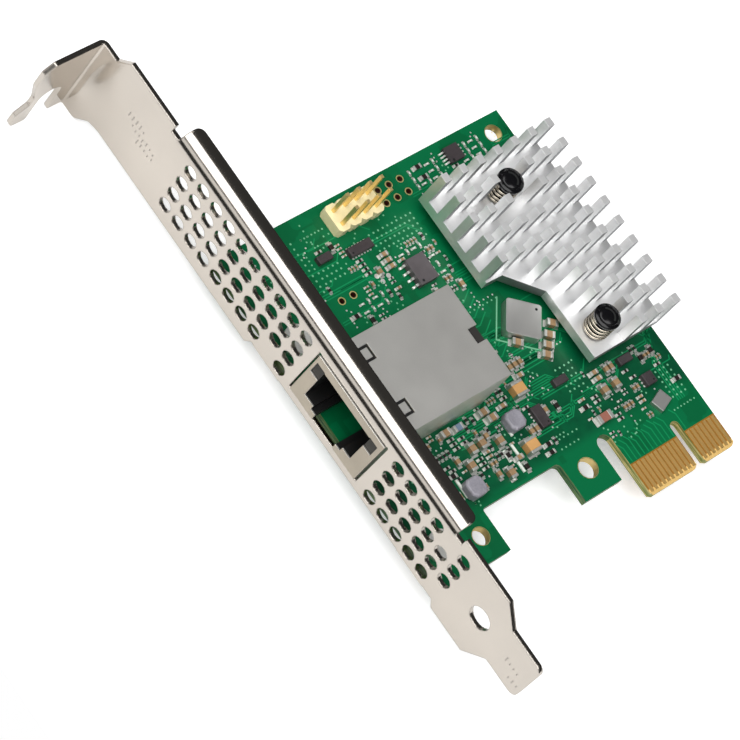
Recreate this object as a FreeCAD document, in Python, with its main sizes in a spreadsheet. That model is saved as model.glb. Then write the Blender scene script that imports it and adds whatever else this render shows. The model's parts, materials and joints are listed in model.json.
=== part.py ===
import FreeCAD, Part
import math
import os
import re
import Sketcher
from FreeCAD import Placement, Rotation, Vector

# A PCI-Express x1 network interface card: a stamped steel bracket with folded stiffening flange and
# screw tab, a green circuit board with gold edge contacts, a shielded network jack, and a pin-fin heat
# sink held over the controller chip by two sprung push pins.
# Frame: origin on the component face of the board, at the mating edge, on the centre line of the key
# slot; +X away from the bracket, +Y towards the screw tab, +Z out of the component face. Millimetres.

os.makedirs("parts", exist_ok=True)
doc = FreeCAD.newDocument("network_card")

SIZES = {
    # bracket sheet and its main plate
    "face": -58.01,
    "sheet": 0.86,
    "fold_y": 104.8,
    "outer_z": 15.04,
    "neck_z": 12.1,
    "neck_y": 101.5,
    "shoulder_y": 99.0,
    "relief_z": 13.4,
    "flange_top": 85.1,
    "flange_bottom": 9.7,
    "relief_wide": 1.8,
    "flange_deep": 4.2,
    "bend_outer": 2.8,
    "flange_corner": 1.3,
    "low_z": -3.39,
    "recess_z": -1.9,
    "recess_top": 54.5,
    "recess_bottom": 4.9,
    "recess_slope": 1.0,
    "hip_y": 96.8,
    "hip_shallow": 2.3,
    "hip_drop": 0.6,
    "hip_steep": 4.8,
    "neck_low_z": -6.9,
    "tongue_shoulder": -3.7,
    "tongue_high_z": 11.2,
    "tongue_low_z": 1.0,
    "tongue_tip": -15.22,
    "tongue_round": 1.5,
    "tongue_bevel": 3.8,
    "tongue_step": 0.5,
    "tongue_slope": 4.2,
    "tongue_hole": 4.4,
    "tongue_hole_y": -2.5,
    "tongue_hole_z": 6.0,
    # screw tab folded off the top of the bracket
    "tab_reach": 11.4,
    "tab_bend": 0.4,
    "tab_corner": 1.7,
    "waist_top_z": 6.5,
    "waist_half": 1.0,
    "waist_bottom_z": -3.2,
    "notch_wide": 4.4,
    "notch_middle": 5.6,
    "notch_depth_z": -0.6,
    "waist_reach": 9.4,
    "tab_round": 1.4,
    # vent holes and jack window
    "vent": 2.75,
    "vent_row": 3.6,
    "vent_column": 3.54,
    "vent_first_z": 0.25,
    "vents_above_jack": 3.54,
    "vents_below_jack": 3.8,
    "upper_vents_y": "=jack_high_y + vents_above_jack + 9 * vent_column",
    "lower_vents_y": "=jack_low_y - vents_below_jack",
    "window_side_gap": 0.45,
    "window_gap": 0.3,
    # ears that carry the board, and their screws
    "ear_reach": 8.5,
    "ear_wide": 7.0,
    "ear_bend": 0.5,
    "ear_high_y": 50.5,
    "ear_low_y": 10.8,
    "screw_x": -52.5,
    "screw_shank": 2.9,
    "thread_clearance": 0.04,
    "screw_head": 5.2,
    "screw_head_tall": 1.7,
    "screw_recess": 2.4,
    "screw_slot": 0.6,
    "screw_recess_deep": 0.9,
    # circuit board
    "board_thick": 1.57,
    "board_left": -56.4,
    "board_right": 8.15,
    "board_top": 68.6,
    "key_half": 0.95,
    "key_top": 8.6,
    "finger_left": -12.15,
    "finger_chamfer": 0.5,
    "slot_left": -15.3,
    "slot_top": 12.8,
    "hook_left": -23.77,
    "hook_bottom": 4.8,
    "edge_y": 12.5,
    "lobe_right": -41.33,
    "lobe_bottom": 4.6,
    "board_round": 1.0,
    "mount_hole": 3.1,
    "hook_hole": 3.6,
    "corner_hole_x": 4.7,
    "corner_hole_y": 65.3,
    "hook_hole_x": -19.5,
    "hook_hole_y": 9.3,
    "lobe_hole_x": -44.6,
    "lobe_hole_y": 8.95,
    "screw_hole": 3.2,
    "lead_hole": 1.0,
    # gold edge contacts
    "contact_pitch": 1.0,
    "contact_wide": 0.7,
    "contact_first": 1.5,
    "contact_thick": 0.05,
    "contact_low": 0.5,
    "finger_bevel": 0.35,
    "contact_high": 6.0,
    # network jack
    "jack_proud": 0.25,
    "jack_deep": 28.35,
    "jack_low_y": 27.1,
    "jack_high_y": 44.7,
    "jack_tall": 11.7,
    "shield_thick": 0.25,
    "plug_low_y": 29.85,
    "plug_high_y": 42.25,
    "plug_roof": 1.7,
    "plug_mouth": 7.7,
    "plug_high_z": "=jack_tall - plug_roof",
    "plug_low_z": "=plug_high_z - plug_mouth",
    "plug_deep": 11.5,
    "latch_half": 4.0,
    "latch_z": 1.3,
    "latch_inner_half": 2.8,
    "lamp_wide": 2.05,
    "lamp_roof": 1.4,
    "lamp_upright": 3.1,
    "lamp_high_z": "=jack_tall - lamp_roof",
    "lamp_low_z": "=lamp_high_z - lamp_upright",
    "lamp_deep": 10.0,
    "lamp_set_back": 0.05,
    "lamp_gap": 0.1,
    "lamp_merge": 0.1,
    "moulding_gap": 0.02,
    "housing_deep": 13.4,
    "spring_window_x": -52.4,
    "spring_window_long": 2.9,
    "spring_window_wide": 2.8,
    "spring_cut": 0.5,
    "spring_high_y": 41.4,
    "spring_low_y": 31.0,
    "top_notch_low": 34.0,
    "top_notch_high": 36.8,
    "top_notch_deep": 2.0,
    "top_notch_down": 2.2,
    "leg_x": -50.6,
    "leg_wide": 1.3,
    "leg_drop": 2.7,
    "leg_hole": 1.6,
    "peg": 3.1,
    "peg_hole": 3.2,
    "peg_x": -49.3,
    "peg_half": 5.7,
    "peg_drop": 2.9,
    "spring_pitch": 1.016,
    "spring_wire": 0.36,
    "wire_roof": 0.8,
    "wire_slope": 1.0,
    "wire_root_z": "=plug_high_z - wire_roof",
    "wire_tip_z": "=wire_root_z - wire_slope",
    "wire_curl": 0.2,
    "wire_thick": 0.4,
    "wire_bend": 3.2,
    "wire_reach": 8.0,
    "wire_end": 8.6,
    "magnetics_z": 0.2,
    "jack_pin": 0.5,
    "jack_pin_x": -37.2,
    "jack_pin_pitch": 2.54,
    "jack_pin_row": 2.3,
    "jack_pin_drop": 2.75,
    # heat sink
    "sink_left": -17.61,
    "sink_right": 7.89,
    "sink_bottom": 23.65,
    "sink_top": 61.05,
    "sink_base_z": 2.0,
    "sink_base_thick": 2.0,
    "sink_tall_z": 10.6,
    "sink_pin_x": 1.35,
    "sink_pin_y": 1.6,
    "sink_pitch_x": 4.025,
    "sink_pitch_y": 3.978,
    "cut_left_y": 43.1,
    "cut_mid_x": -14.11,
    "cut_mid_y": 43.0,
    "cut_low_x": -8.61,
    "cut_low_y": 37.1,
    "cut_end_x": -8.41,
    # push pins and springs
    "push_x": -5.0,
    "push_high_y": 55.1,
    "push_low_y": 27.7,
    "push_head": 5.0,
    "push_head_low": 8.2,
    "push_head_side": 0.8,
    "push_head_tall": 1.3,
    "push_dome": 3.4,
    "push_shank": 2.8,
    "push_hole": 3.1,
    "push_barb": 3.7,
    "push_barb_tall": 0.7,
    "push_tip": 1.8,
    "push_tip_z": -3.3,
    "push_slit": 0.6,
    "push_slot_step": 0.1,
    "push_slit_tall": 3.0,
    "coil_outer": 4.7,
    "coil_wire": 0.45,
    "coil_turns": 3.5,
    "coil_bends": 14,
    # controller under the heat sink
    "chip_x": -2.51,
    "chip_y": 46.3,
    "chip_wide": 9.0,
    "chip_tall": 0.9,
    "pad_wide": 8.4,
    # parts that stand alone
    "flat_chip_tall": 1.0,
    "fuse_x": -11.1,
    "fuse_y": 14.9,
    "fuse_long": 3.2,
    "fuse_wide": 1.6,
    "fuse_tall": 0.8,
    "crystal_x": 0.3,
    "crystal_y": 12.4,
    "crystal_long": 3.2,
    "crystal_wide": 2.5,
    "crystal_tall": 0.8,
    "crystal_turn": 20.0,
    # pin header
    "header_pitch": 2.54,
    "header_x": -33.04,
    "header_y": 63.45,
    "header_tall": 2.2,
    "header_nick": 0.55,
    "header_pin": 0.64,
    "header_pin_top": 8.0,
    "header_pin_drop": 2.9,
    "spare_offset": 11.24,
    "spare_pair_x": -40.4,
    "spare_pair_y": 52.8,
    # leaded chips
    "lead_thick": 0.2,
    "flash_x": -24.6,
    "flash_y": 50.9,
    "flash_wide": 3.9,
    "flash_long": 4.9,
    "flash_tall": 1.5,
    "flash_span": 6.0,
    "flash_pitch": 1.27,
    "flash_lead": 0.42,
    "prom_x": -5.1,
    "prom_y": 65.4,
    "prom_wide": 3.0,
    "prom_long": 2.9,
    "prom_tall": 1.0,
    "prom_span": 4.8,
    "prom_pitch": 0.65,
    "prom_lead": 0.3,
    "can_x": -14.0,
    "can_y": 35.4,
    "can_wide": 6.35,
    "can_tall": 1.9,
    "can_turn": -40,
    "can_round": 0.5,
    "board_gap": 0.1,
}

# Small parts soldered to the component face: centre x, centre y and turn in degrees of each one.
INDUCTORS = ((-27.0, 21.9, 0), (-40.9, 15.9, 0))
TANTALUMS = ((-22.6, 26.0, 0), (-26.9, 17.0, 0))
CERAMICS = (
    (-8.9, 32.6, -40), (-10.8, 31.2, -40), (-12.2, 29.8, -40), (-13.5, 28.5, -40), (-17.0, 32.7, -40),
    (-39.2, 25.8, 0), (-30.8, 25.7, 0), (-29.9, 24.2, 0), (-31.2, 20.4, 90), (-38.6, 19.25, 90),
    (-36.6, 21.5, 90), (-34.4, 21.5, 90), (-8.0, 18.7, 90), (-5.3, 18.8, 90), (-33.0, 15.0, 90),
)
RESISTORS = (
    (-23.5, 15.9, 0), (-23.9, 14.5, 0), (-29.5, 14.6, 90), (-31.3, 17.7, 90), (-42.6, 19.3, 0),
    (-17.6, 20.6, 90), (-13.1, 17.9, 0), (-40.0, 49.4, 0), (-37.7, 47.6, 90), (-36.2, 61.3, 90),
    (-12.6, 64.3, 0), (-12.6, 66.3, 0), (2.3, 20.3, 90), (4.9, 20.6, 90), (5.9, 14.3, 0),
)
BEADS = ((-36.4, 25.6, 0), (-44.8, 21.5, 90))
TRANSISTORS = ((-38.8, 60.2, 0), (-14.4, 23.8, 0), (-1.0, 21.4, 0))
FLAT_CHIPS = ((-21.8, 20.4, 2.1, 3.9), (0.8, 16.6, 2.2, 2.2), (-31.8, 58.9, 5.0, 1.7))
# length, width and height of each family, the same for every part in it
SMALL_PARTS = {
    "inductors": (INDUCTORS, "3.4", "3.4", "2.0"),
    "tantalum_capacitors": (TANTALUMS, "2.4", "2.6", "1.7"),
    "ceramic_capacitors": (CERAMICS, "2.0", "1.25", "1.1"),
    "resistors": (RESISTORS, "1.6", "0.8", "0.5"),
    "ferrite_beads": (BEADS, "2.0", "1.2", "0.9"),
    "transistors": (TRANSISTORS, "2.9", "1.4", "1.0"),
}
# runs of heat-sink pins: column, first row, rows
PIN_RUNS = ((0, 0, 5), (1, 0, 5), (2, 0, 6), (3, 0, 1), (3, 3, 5), (4, 0, 10), (5, 0, 10), (6, 0, 10))
# vents left out of the full grids, as (column, row) counted from the tab end and the solder side
UPPER_VENT_GAPS = ((8, 0),)
LOWER_VENT_GAPS = ((4, 3), (5, 0))

sheet = doc.addObject("Spreadsheet::Sheet", "Sizes")
for family, (places, length, width, height) in SMALL_PARTS.items():
    SIZES[family + "_long"] = length
    SIZES[family + "_wide"] = width
    SIZES[family + "_tall"] = height
for line, name in enumerate(SIZES, start=1):
    sheet.set(f"A{line}", name)
    sheet.setAlias(f"B{line}", name)
for line, size in enumerate(SIZES.values(), start=1):
    sheet.set(f"B{line}", str(size))
doc.recompute()


def linked(text):
    """Point each size named in an expression at the sheet."""
    def aliased(word):
        name = word.group()
        return "Sizes." + name if name in SIZES else name

    return re.sub(r"[a-z]\w*", aliased, str(text))


def amount(text):
    """The present value of an expression in the named sizes."""
    return float(sheet.evalExpression(linked(text)))


def new_body(label):
    """Start a sub-part that may hold several separate solids of one kind."""
    body = doc.addObject("PartDesign::Body", label)
    body.Label = label
    body.AllowCompound = True
    return body


def draw(body, plane, level, outlines=(), circles=()):
    """Draw closed outlines and circles on a plane of the body's origin, moved to a level along its axis."""
    sketch = body.newObject("Sketcher::SketchObject", body.Label + "_sketch")
    support = [feature for feature in body.Origin.OriginFeatures if feature.Role == plane + "_Plane"][0]
    sketch.AttachmentSupport = [(support, "")]
    sketch.MapMode = "FlatFace"
    sign = "-1" if plane == "XZ" else "1"
    sketch.setExpression("AttachmentOffset.Base.z", f"{sign} * ({linked(level)})")
    for corners in outlines:
        places = [Vector(amount(across), amount(up), 0) for across, up in corners]
        ends = places[1:] + places[:1]
        lines = sketch.addGeometry([Part.LineSegment(a, b) for a, b in zip(places, ends)], False)
        followers = list(lines[1:]) + [lines[0]]
        sketch.addConstraint([Sketcher.Constraint("Coincident", line, 2, follower, 1)
                              for line, follower in zip(lines, followers)])
        for line, corner, place in zip(lines, corners, places):
            bind_point(sketch, line, 1, corner, place)
    for across, up, diameter in circles:
        place = Vector(amount(across), amount(up), 0)
        ring = sketch.addGeometry(Part.Circle(place, Vector(0, 0, 1), amount(diameter) / 2), False)
        bind_point(sketch, ring, 3, (across, up), place)
        number = sketch.addConstraint(Sketcher.Constraint("Diameter", ring, amount(diameter)))
        sketch.setExpression(f"Constraints[{number}]", linked(diameter))
    return sketch


def bind_point(sketch, line, end, corner, place):
    """Hold one point of a sketch at two named sizes from its origin."""
    for kind, text, start in zip(("DistanceX", "DistanceY"), corner, place):
        number = sketch.addConstraint(Sketcher.Constraint(kind, -1, 1, line, end, start))
        sketch.setExpression(f"Constraints[{number}]", linked(text))


def extrude(body, kind, plane, low, high, outlines, circles):
    """Add or remove a prism between two levels, and see that it changed the volume the right way."""
    adds = kind == "Pad"
    level = high if (plane == "XZ") == adds else low
    before = body.Shape.Volume if body.Tip else 0.0
    sketch = draw(body, plane, level, outlines, circles)
    feature = body.newObject("PartDesign::" + kind, body.Label + "_" + kind.lower())
    feature.Profile = sketch
    feature.setExpression("Length", f"({linked(high)}) - ({linked(low)})")
    body.Tip = feature
    doc.recompute()
    assert (body.Shape.Volume - before > 1e-4) == adds, f"{feature.Name} has no effect"
    return feature


def add(body, plane, low, high, outlines=(), circles=()):
    """Add a prism between two levels along the plane's axis."""
    return extrude(body, "Pad", plane, low, high, outlines, circles)


def remove(body, plane, low, high, outlines=(), circles=()):
    """Remove a prism between two levels along the plane's axis."""
    return extrude(body, "Pocket", plane, low, high, outlines, circles)


def rectangle(low_across, high_across, low_up, high_up):
    """The four corners of a rectangle."""
    return ((low_across, low_up), (high_across, low_up), (high_across, high_up), (low_across, high_up))


def round_off(body, radius, axis, places, low="-200", high="200"):
    """Round the straight edges that run along an axis through the given places, between two levels."""
    others = [number for number in range(3) if number != axis]
    wanted = [[amount(text) for text in place] for place in places]
    found = []
    for number, edge in enumerate(body.Shape.Edges, start=1):
        ends = [[vertex.Point[other] for other in others] for vertex in edge.Vertexes]
        inside = amount(low) - 1e-4 < edge.CenterOfMass[axis] < amount(high) + 1e-4
        for place in wanted:
            if inside and len(ends) == 2 and all(math.dist(end, place) < 1e-4 for end in ends):
                found.append(f"Edge{number}")
    assert found, f"no edge of {body.Label} to round"
    sharp = body.Tip
    before = body.Shape.Volume
    feature = body.newObject("PartDesign::Fillet", body.Label + "_round")
    feature.Base = (sharp, found)
    feature.setExpression("Radius", linked(radius))
    body.Tip = feature
    doc.recompute()
    assert abs(body.Shape.Volume - before) > 1e-5, f"{feature.Name} has no effect"
    return feature


def place_at(item, x, y, z):
    """Bind an object's own corner or axis to a place."""
    for letter, text in zip("xyz", (x, y, z)):
        item.setExpression(f"Placement.Base.{letter}", linked(text))
    return item


def block(x, y, z, long, wide, tall, turn="0"):
    """A box about a centre, standing on a level, turned about its upright axis."""
    box = doc.addObject("Part::Box", "block")
    box.setExpression("Length", linked(long))
    box.setExpression("Width", linked(wide))
    box.setExpression("Height", linked(tall))
    box.Placement = Placement(Vector(), Rotation(Vector(0, 0, 1), 1))
    box.setExpression("Placement.Rotation.Angle", linked(turn))
    cosine = math.cos(math.radians(amount(turn)))
    sine = math.sin(math.radians(amount(turn)))
    return place_at(box, f"{x} - ({long}) / 2 * {cosine} + ({wide}) / 2 * {sine}",
                    f"{y} - ({long}) / 2 * {sine} - ({wide}) / 2 * {cosine}", z)


def rod(x, y, low, high, diameter):
    """An upright cylinder between two levels."""
    cylinder = doc.addObject("Part::Cylinder", "rod")
    cylinder.setExpression("Radius", f"({linked(diameter)}) / 2")
    cylinder.setExpression("Height", f"({linked(high)}) - ({linked(low)})")
    return place_at(cylinder, x, y, low)


def taper(x, y, low, high, low_diameter, high_diameter):
    """An upright cone between two levels."""
    cone = doc.addObject("Part::Cone", "taper")
    cone.setExpression("Radius1", f"({linked(low_diameter)}) / 2")
    cone.setExpression("Radius2", f"({linked(high_diameter)}) / 2")
    cone.setExpression("Height", f"({linked(high)}) - ({linked(low)})")
    return place_at(cone, x, y, low)


def prism(sides, x, y, z, length, diameter, turn):
    """A many-sided rod that cuts a repeated round hole with few faces, turned from upright to its axis."""
    prism = doc.addObject("Part::Prism", "prism")
    prism.Polygon = sides
    prism.setExpression("Circumradius", f"({linked(diameter)}) / 2")
    prism.setExpression("Height", linked(length))
    prism.Placement = Placement(Vector(), turn)
    return place_at(prism, x, y, z)


def joined(pieces):
    """One solid from overlapping pieces."""
    fusion = doc.addObject("Part::MultiFuse", "joined")
    fusion.Shapes = list(pieces)
    fusion.Refine = True
    return fusion


def less(base, tool, label="less"):
    """A solid with another taken away."""
    cut = doc.addObject("Part::Cut", label)
    cut.Label = label
    cut.Base = base
    cut.Tool = tool
    return cut


def group(label, pieces):
    """Separate solids of one kind that share a node."""
    compound = doc.addObject("Part::Compound", label)
    compound.Label = label
    compound.Links = list(pieces)
    return compound


def coded(label, shapes):
    """A sub-part whose solids come from code."""
    feature = doc.addObject("Part::Feature", label)
    feature.Label = label
    feature.Shape = Part.makeCompound(shapes)
    feature.Placement = Placement()
    return feature


def make_bracket():
    """Steel bracket: plate, vents, jack window, folded flange, screw tab and the two ears under the board."""
    body = new_body("bracket_sheet")
    flange = (
        ("face", "outer_z - bend_outer - sheet"), ("face + sheet", "outer_z - bend_outer - sheet"),
        ("face + sheet", "outer_z - sheet"), ("face + flange_deep", "outer_z - sheet"),
        ("face + flange_deep", "outer_z"), ("face", "outer_z"),
    )
    add(body, "XZ", "flange_bottom", "flange_top", [flange])
    round_off(body, "bend_outer - sheet", 1, [("face + sheet", "outer_z - sheet")])
    round_off(body, "bend_outer", 1, [("face", "outer_z")])
    round_off(body, "flange_corner", 2,
              [("face + flange_deep", "flange_top"), ("face + flange_deep", "flange_bottom")])
    plate = (
        ("fold_y + sheet", "neck_z"), ("neck_y", "neck_z"), ("shoulder_y", "outer_z"),
        ("flange_top + relief_wide", "outer_z"), ("flange_top + relief_wide", "relief_z"),
        ("flange_top", "relief_z"), ("flange_top", "outer_z - bend_outer"),
        ("flange_bottom", "outer_z - bend_outer"), ("flange_bottom", "relief_z"),
        ("flange_bottom - relief_wide", "relief_z"), ("flange_bottom - relief_wide", "outer_z"),
        ("tongue_shoulder", "outer_z"), ("tongue_shoulder - tongue_bevel", "tongue_high_z"),
        ("tongue_tip", "tongue_high_z"), ("tongue_tip", "tongue_low_z"),
        ("tongue_shoulder - tongue_slope", "tongue_low_z"), ("tongue_shoulder - tongue_step", "low_z"),
        ("recess_bottom - recess_slope", "low_z"), ("recess_bottom", "recess_z"),
        ("recess_top", "recess_z"), ("recess_top + recess_slope", "low_z"), ("hip_y", "low_z"),
        ("hip_y + hip_shallow", "low_z - hip_drop"), ("hip_y + hip_steep", "neck_low_z"),
        ("fold_y + sheet", "neck_low_z"),
    )
    add(body, "YZ", "face", "face + sheet", [plate])
    round_off(body, "tongue_round", 0, [("tongue_tip", "tongue_high_z"), ("tongue_tip", "tongue_low_z")])
    round_off(body, "tongue_round", 0, [("hip_y + hip_steep", "neck_low_z")])
    notch_near = "face - notch_middle + notch_wide / 2"
    notch_far = "face - notch_middle - notch_wide / 2"
    tab = (
        ("face + sheet / 2", "neck_z"), ("face - tab_reach + tab_corner", "neck_z"),
        ("face - tab_reach", "neck_z - tab_corner"), ("face - tab_reach", "waist_top_z"),
        ("face - waist_reach", "waist_half"), ("face - waist_reach", "0 - waist_half"),
        ("face - tab_reach", "waist_bottom_z"), ("face - tab_reach", "neck_low_z"), (notch_far, "neck_low_z"),
        (notch_far, "notch_depth_z"), (notch_near, "notch_depth_z"), (notch_near, "neck_low_z"),
        ("face + sheet / 2", "neck_low_z"),
    )
    add(body, "XZ", "fold_y", "fold_y + sheet", [tab])
    remove(body, "XZ", "fold_y", "fold_y + sheet",
           circles=[("face - notch_middle", "notch_depth_z", "notch_wide")])
    round_off(body, "tab_round", 1, [("face - tab_reach", "neck_low_z")])
    round_off(body, "tab_round / 2", 1, [(notch_far, "neck_low_z"), (notch_near, "neck_low_z")])
    round_off(body, "tab_bend", 2, [("face", "fold_y")])
    round_off(body, "tab_bend + sheet", 2, [("face + sheet", "fold_y + sheet")])
    ears = ("ear_high_y", "ear_low_y")
    for ear_y in ears:
        add(body, "XZ", f"{ear_y} - ear_wide / 2", f"{ear_y} + ear_wide / 2",
            [rectangle("face", "face + ear_reach", "0 - board_thick - sheet", "0 - board_thick")])
    round_off(body, "ear_bend", 1, [("face", "0 - board_thick - sheet")])
    window = rectangle("jack_low_y - window_side_gap", "jack_high_y + window_side_gap",
                       "0 - window_gap", "jack_tall + window_gap")
    remove(body, "YZ", "face", "face + sheet", [window])
    along_x = Rotation(Vector(0, 1, 0), 90)
    holes = [prism(24, "face - 1", "tongue_hole_y", "tongue_hole_z", "sheet + 2", "tongue_hole", along_x)]
    holes += [prism(16, "screw_x", y, "0 - board_thick - sheet - 1", "sheet + 1",
                    "screw_shank + thread_clearance", Rotation()) for y in ears]
    fields = (("upper_vents_y", 10, UPPER_VENT_GAPS), ("lower_vents_y", 6, LOWER_VENT_GAPS))
    for first_y, columns, gaps in fields:
        for column in range(columns):
            for row in range(4):
                if (column, row) not in gaps:
                    holes.append(prism(14, "face - 1", f"{first_y} - {column} * vent_column",
                                       f"vent_first_z + {row} * vent_row", "sheet + 2", "vent", along_x))
    return less(body, group("bracket_holes", holes), "bracket")


def header_places():
    """Centres of the eight header pins."""
    return [(f"header_x + {column} * header_pitch", f"header_y + {row} * header_pitch")
            for column in range(4) for row in range(2)]


def spare_places():
    """Centres of the plated holes that hold nothing: six beside the header and a pair below it."""
    beside = [(f"header_x + spare_offset + {column} * header_pitch", f"header_y + {row} * header_pitch")
              for column in range(3) for row in range(2)]
    return beside + [(f"spare_pair_x + {column} * header_pitch", "spare_pair_y") for column in range(2)]


def jack_pin_places():
    """Centres of the jack's solder pins, in two staggered rows."""
    middle = "(jack_low_y + jack_high_y) / 2"
    return [(f"jack_pin_x - {number % 2} * jack_pin_row", f"{middle} + ({number} - 4.5) * jack_pin_pitch / 2")
            for number in range(10)]


def make_board():
    """Circuit board: finger sections, key slot, hook, lobe and every hole something passes through."""
    body = new_body("board_blank")
    key_flat = "key_top - key_half"
    slot_flat = "slot_top - (finger_left - slot_left) / 2"
    outline = (
        ("board_left", "board_top"), ("board_left", "lobe_bottom"), ("lobe_right", "lobe_bottom"),
        ("lobe_right", "edge_y"), ("hook_left", "edge_y"), ("hook_left", "hook_bottom"),
        ("slot_left", "hook_bottom"), ("slot_left", slot_flat), ("finger_left", slot_flat),
        ("finger_left", "finger_chamfer"), ("finger_left + finger_chamfer", "0"),
        ("0 - key_half - finger_chamfer", "0"), ("0 - key_half", "finger_chamfer"),
        ("0 - key_half", key_flat), ("key_half", key_flat), ("key_half", "finger_chamfer"),
        ("key_half + finger_chamfer", "0"), ("board_right - finger_chamfer", "0"),
        ("board_right", "finger_chamfer"), ("board_right", "board_top"),
    )
    add(body, "XY", "0 - board_thick", "0", [outline])
    round_off(body, "board_round", 2, [("hook_left", "edge_y")])
    round_off(body, "board_round / 2", 2, [("lobe_right", "edge_y")])
    holes = [("0", key_flat, "key_half * 2"),
             ("(finger_left + slot_left) / 2", slot_flat, "finger_left - slot_left"),
             ("corner_hole_x", "corner_hole_y", "mount_hole"), ("hook_hole_x", "hook_hole_y", "hook_hole"),
             ("lobe_hole_x", "lobe_hole_y", "mount_hole")]
    remove(body, "XY", "0 - board_thick", "0", circles=holes)
    faces = (("0", "0 - finger_bevel"), ("0 - board_thick", "finger_bevel - board_thick"))
    for face_z, inner_z in faces:
        remove(body, "YZ", "finger_left", "board_right",
               [(("0", inner_z), ("contact_low", face_z), ("0", face_z))])
    drilled = [(8, x, y, "lead_hole") for x, y in (*header_places(), *spare_places(), *jack_pin_places())]
    for number in ("high", "low"):
        drilled.append((16, "screw_x", f"ear_{number}_y", "screw_hole"))
        drilled.append((16, "push_x", f"push_{number}_y", "push_hole"))
    middle = "(jack_low_y + jack_high_y) / 2"
    for side in (-1, 1):
        leg_y = f"{middle} + {side} * ((jack_high_y - jack_low_y) - shield_thick) / 2"
        drilled.append((16, "leg_x", leg_y, "leg_hole"))
        drilled.append((16, "peg_x", f"{middle} + {side} * peg_half", "peg_hole"))
    tools = [prism(sides, x, y, "0 - board_thick - 1", "board_thick + 2", diameter, Rotation())
             for sides, x, y, diameter in drilled]
    return less(body, group("drilled_holes", tools), "circuit_board")


def make_contacts():
    """Gold contacts of the edge connector on both faces of the board."""
    strips = []
    for number in list(range(-11, 0)) + list(range(1, 8)):
        side = 1 if number > 0 else -1
        x = f"{side} * contact_first + {number - side} * contact_pitch"
        for level in ("0", "0 - board_thick - contact_thick"):
            strips.append(block(x, "(contact_low + contact_high) / 2", level, "contact_wide",
                                "contact_high - contact_low", "contact_thick"))
    return group("edge_contacts", strips)


def face_openings():
    """Outlines shared by the jack's shield and housing: plug mouth with the stepped latch channel."""
    middle = "(jack_low_y + jack_high_y) / 2"
    return ((("plug_low_y", "plug_high_z"), ("plug_high_y", "plug_high_z"), ("plug_high_y", "plug_low_z"),
             (middle + " + latch_half", "plug_low_z"), (middle + " + latch_half", "latch_z"),
             (middle + " + latch_inner_half", "latch_z"), (middle + " + latch_inner_half", "0"),
             (middle + " - latch_inner_half", "0"), (middle + " - latch_inner_half", "latch_z"),
             (middle + " - latch_half", "latch_z"), (middle + " - latch_half", "plug_low_z"),
             ("plug_low_y", "plug_low_z")),)


def lamp_outlines(inset, reach):
    """The two lamp windows beside the plug mouth, set in by a gap and reaching towards or into the mouth."""
    low_z = f"lamp_low_z + {inset}"
    high_z = f"lamp_high_z - {inset}"
    return (rectangle(f"plug_low_y - lamp_wide + {inset}", f"plug_low_y + ({reach})", low_z, high_z),
            rectangle(f"plug_high_y - ({reach})", f"plug_high_y + lamp_wide - {inset}", low_z, high_z))


def make_shield():
    """Folded shield round the jack: face openings, two sprung fingers, a rear notch and two legs."""
    body = new_body("jack_shield")
    front = "face - jack_proud"
    back = "face - jack_proud + jack_deep"
    add(body, "XY", "0", "jack_tall", [rectangle(front, back, "jack_low_y", "jack_high_y")])
    remove_inner = rectangle(f"{front} + shield_thick", f"{back} - shield_thick",
                             "jack_low_y + shield_thick", "jack_high_y - shield_thick")
    remove(body, "XY", "0", "jack_tall - shield_thick", [remove_inner])
    remove(body, "YZ", front, f"{front} + shield_thick", face_openings())
    remove(body, "YZ", front, f"{front} + shield_thick", lamp_outlines("lamp_gap", "lamp_merge"))
    for low_y in ("spring_low_y - spring_window_wide / 2", "spring_high_y - spring_window_wide / 2"):
        high_y = f"{low_y} + spring_window_wide"
        near_x = "spring_window_x"
        far_x = "spring_window_x + spring_window_long"
        finger = (
            (near_x, low_y), (far_x, low_y), (far_x, high_y), (near_x, high_y),
            (near_x, f"{high_y} - spring_cut"), (f"{far_x} - spring_cut", f"{high_y} - spring_cut"),
            (f"{far_x} - spring_cut", f"{low_y} + spring_cut"), (near_x, f"{low_y} + spring_cut"),
        )
        remove(body, "XY", "jack_tall - shield_thick", "jack_tall", [finger])
    remove(body, "XY", "jack_tall - top_notch_down", "jack_tall",
           [rectangle(f"{back} - top_notch_deep", back, "top_notch_low", "top_notch_high")])
    for low_y in ("jack_low_y", "jack_high_y - shield_thick"):
        add(body, "XY", "0 - leg_drop", "0",
            [rectangle("leg_x - leg_wide / 2", "leg_x + leg_wide / 2", low_y, f"{low_y} + shield_thick")])
    return body


def make_housing():
    """Black plastic housing with the plug cavity, latch channel, lamp channels and two locating pegs."""
    body = new_body("jack_housing")
    front = "face - jack_proud + shield_thick"
    inner_low = "jack_low_y + shield_thick"
    inner_high = "jack_high_y - shield_thick"
    add(body, "XY", "0", "jack_tall - shield_thick",
        [rectangle(front, f"{front} + housing_deep", inner_low, inner_high)])
    remove(body, "YZ", front, f"{front} + plug_deep", face_openings())
    remove(body, "YZ", front, f"{front} + lamp_deep", lamp_outlines("moulding_gap", "lamp_merge"))
    middle = "(jack_low_y + jack_high_y) / 2"
    for side in (-1, 1):
        add(body, "XY", "0 - peg_drop", "0", circles=[("peg_x", f"{middle} + {side} * peg_half", "peg")])
    return body


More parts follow.
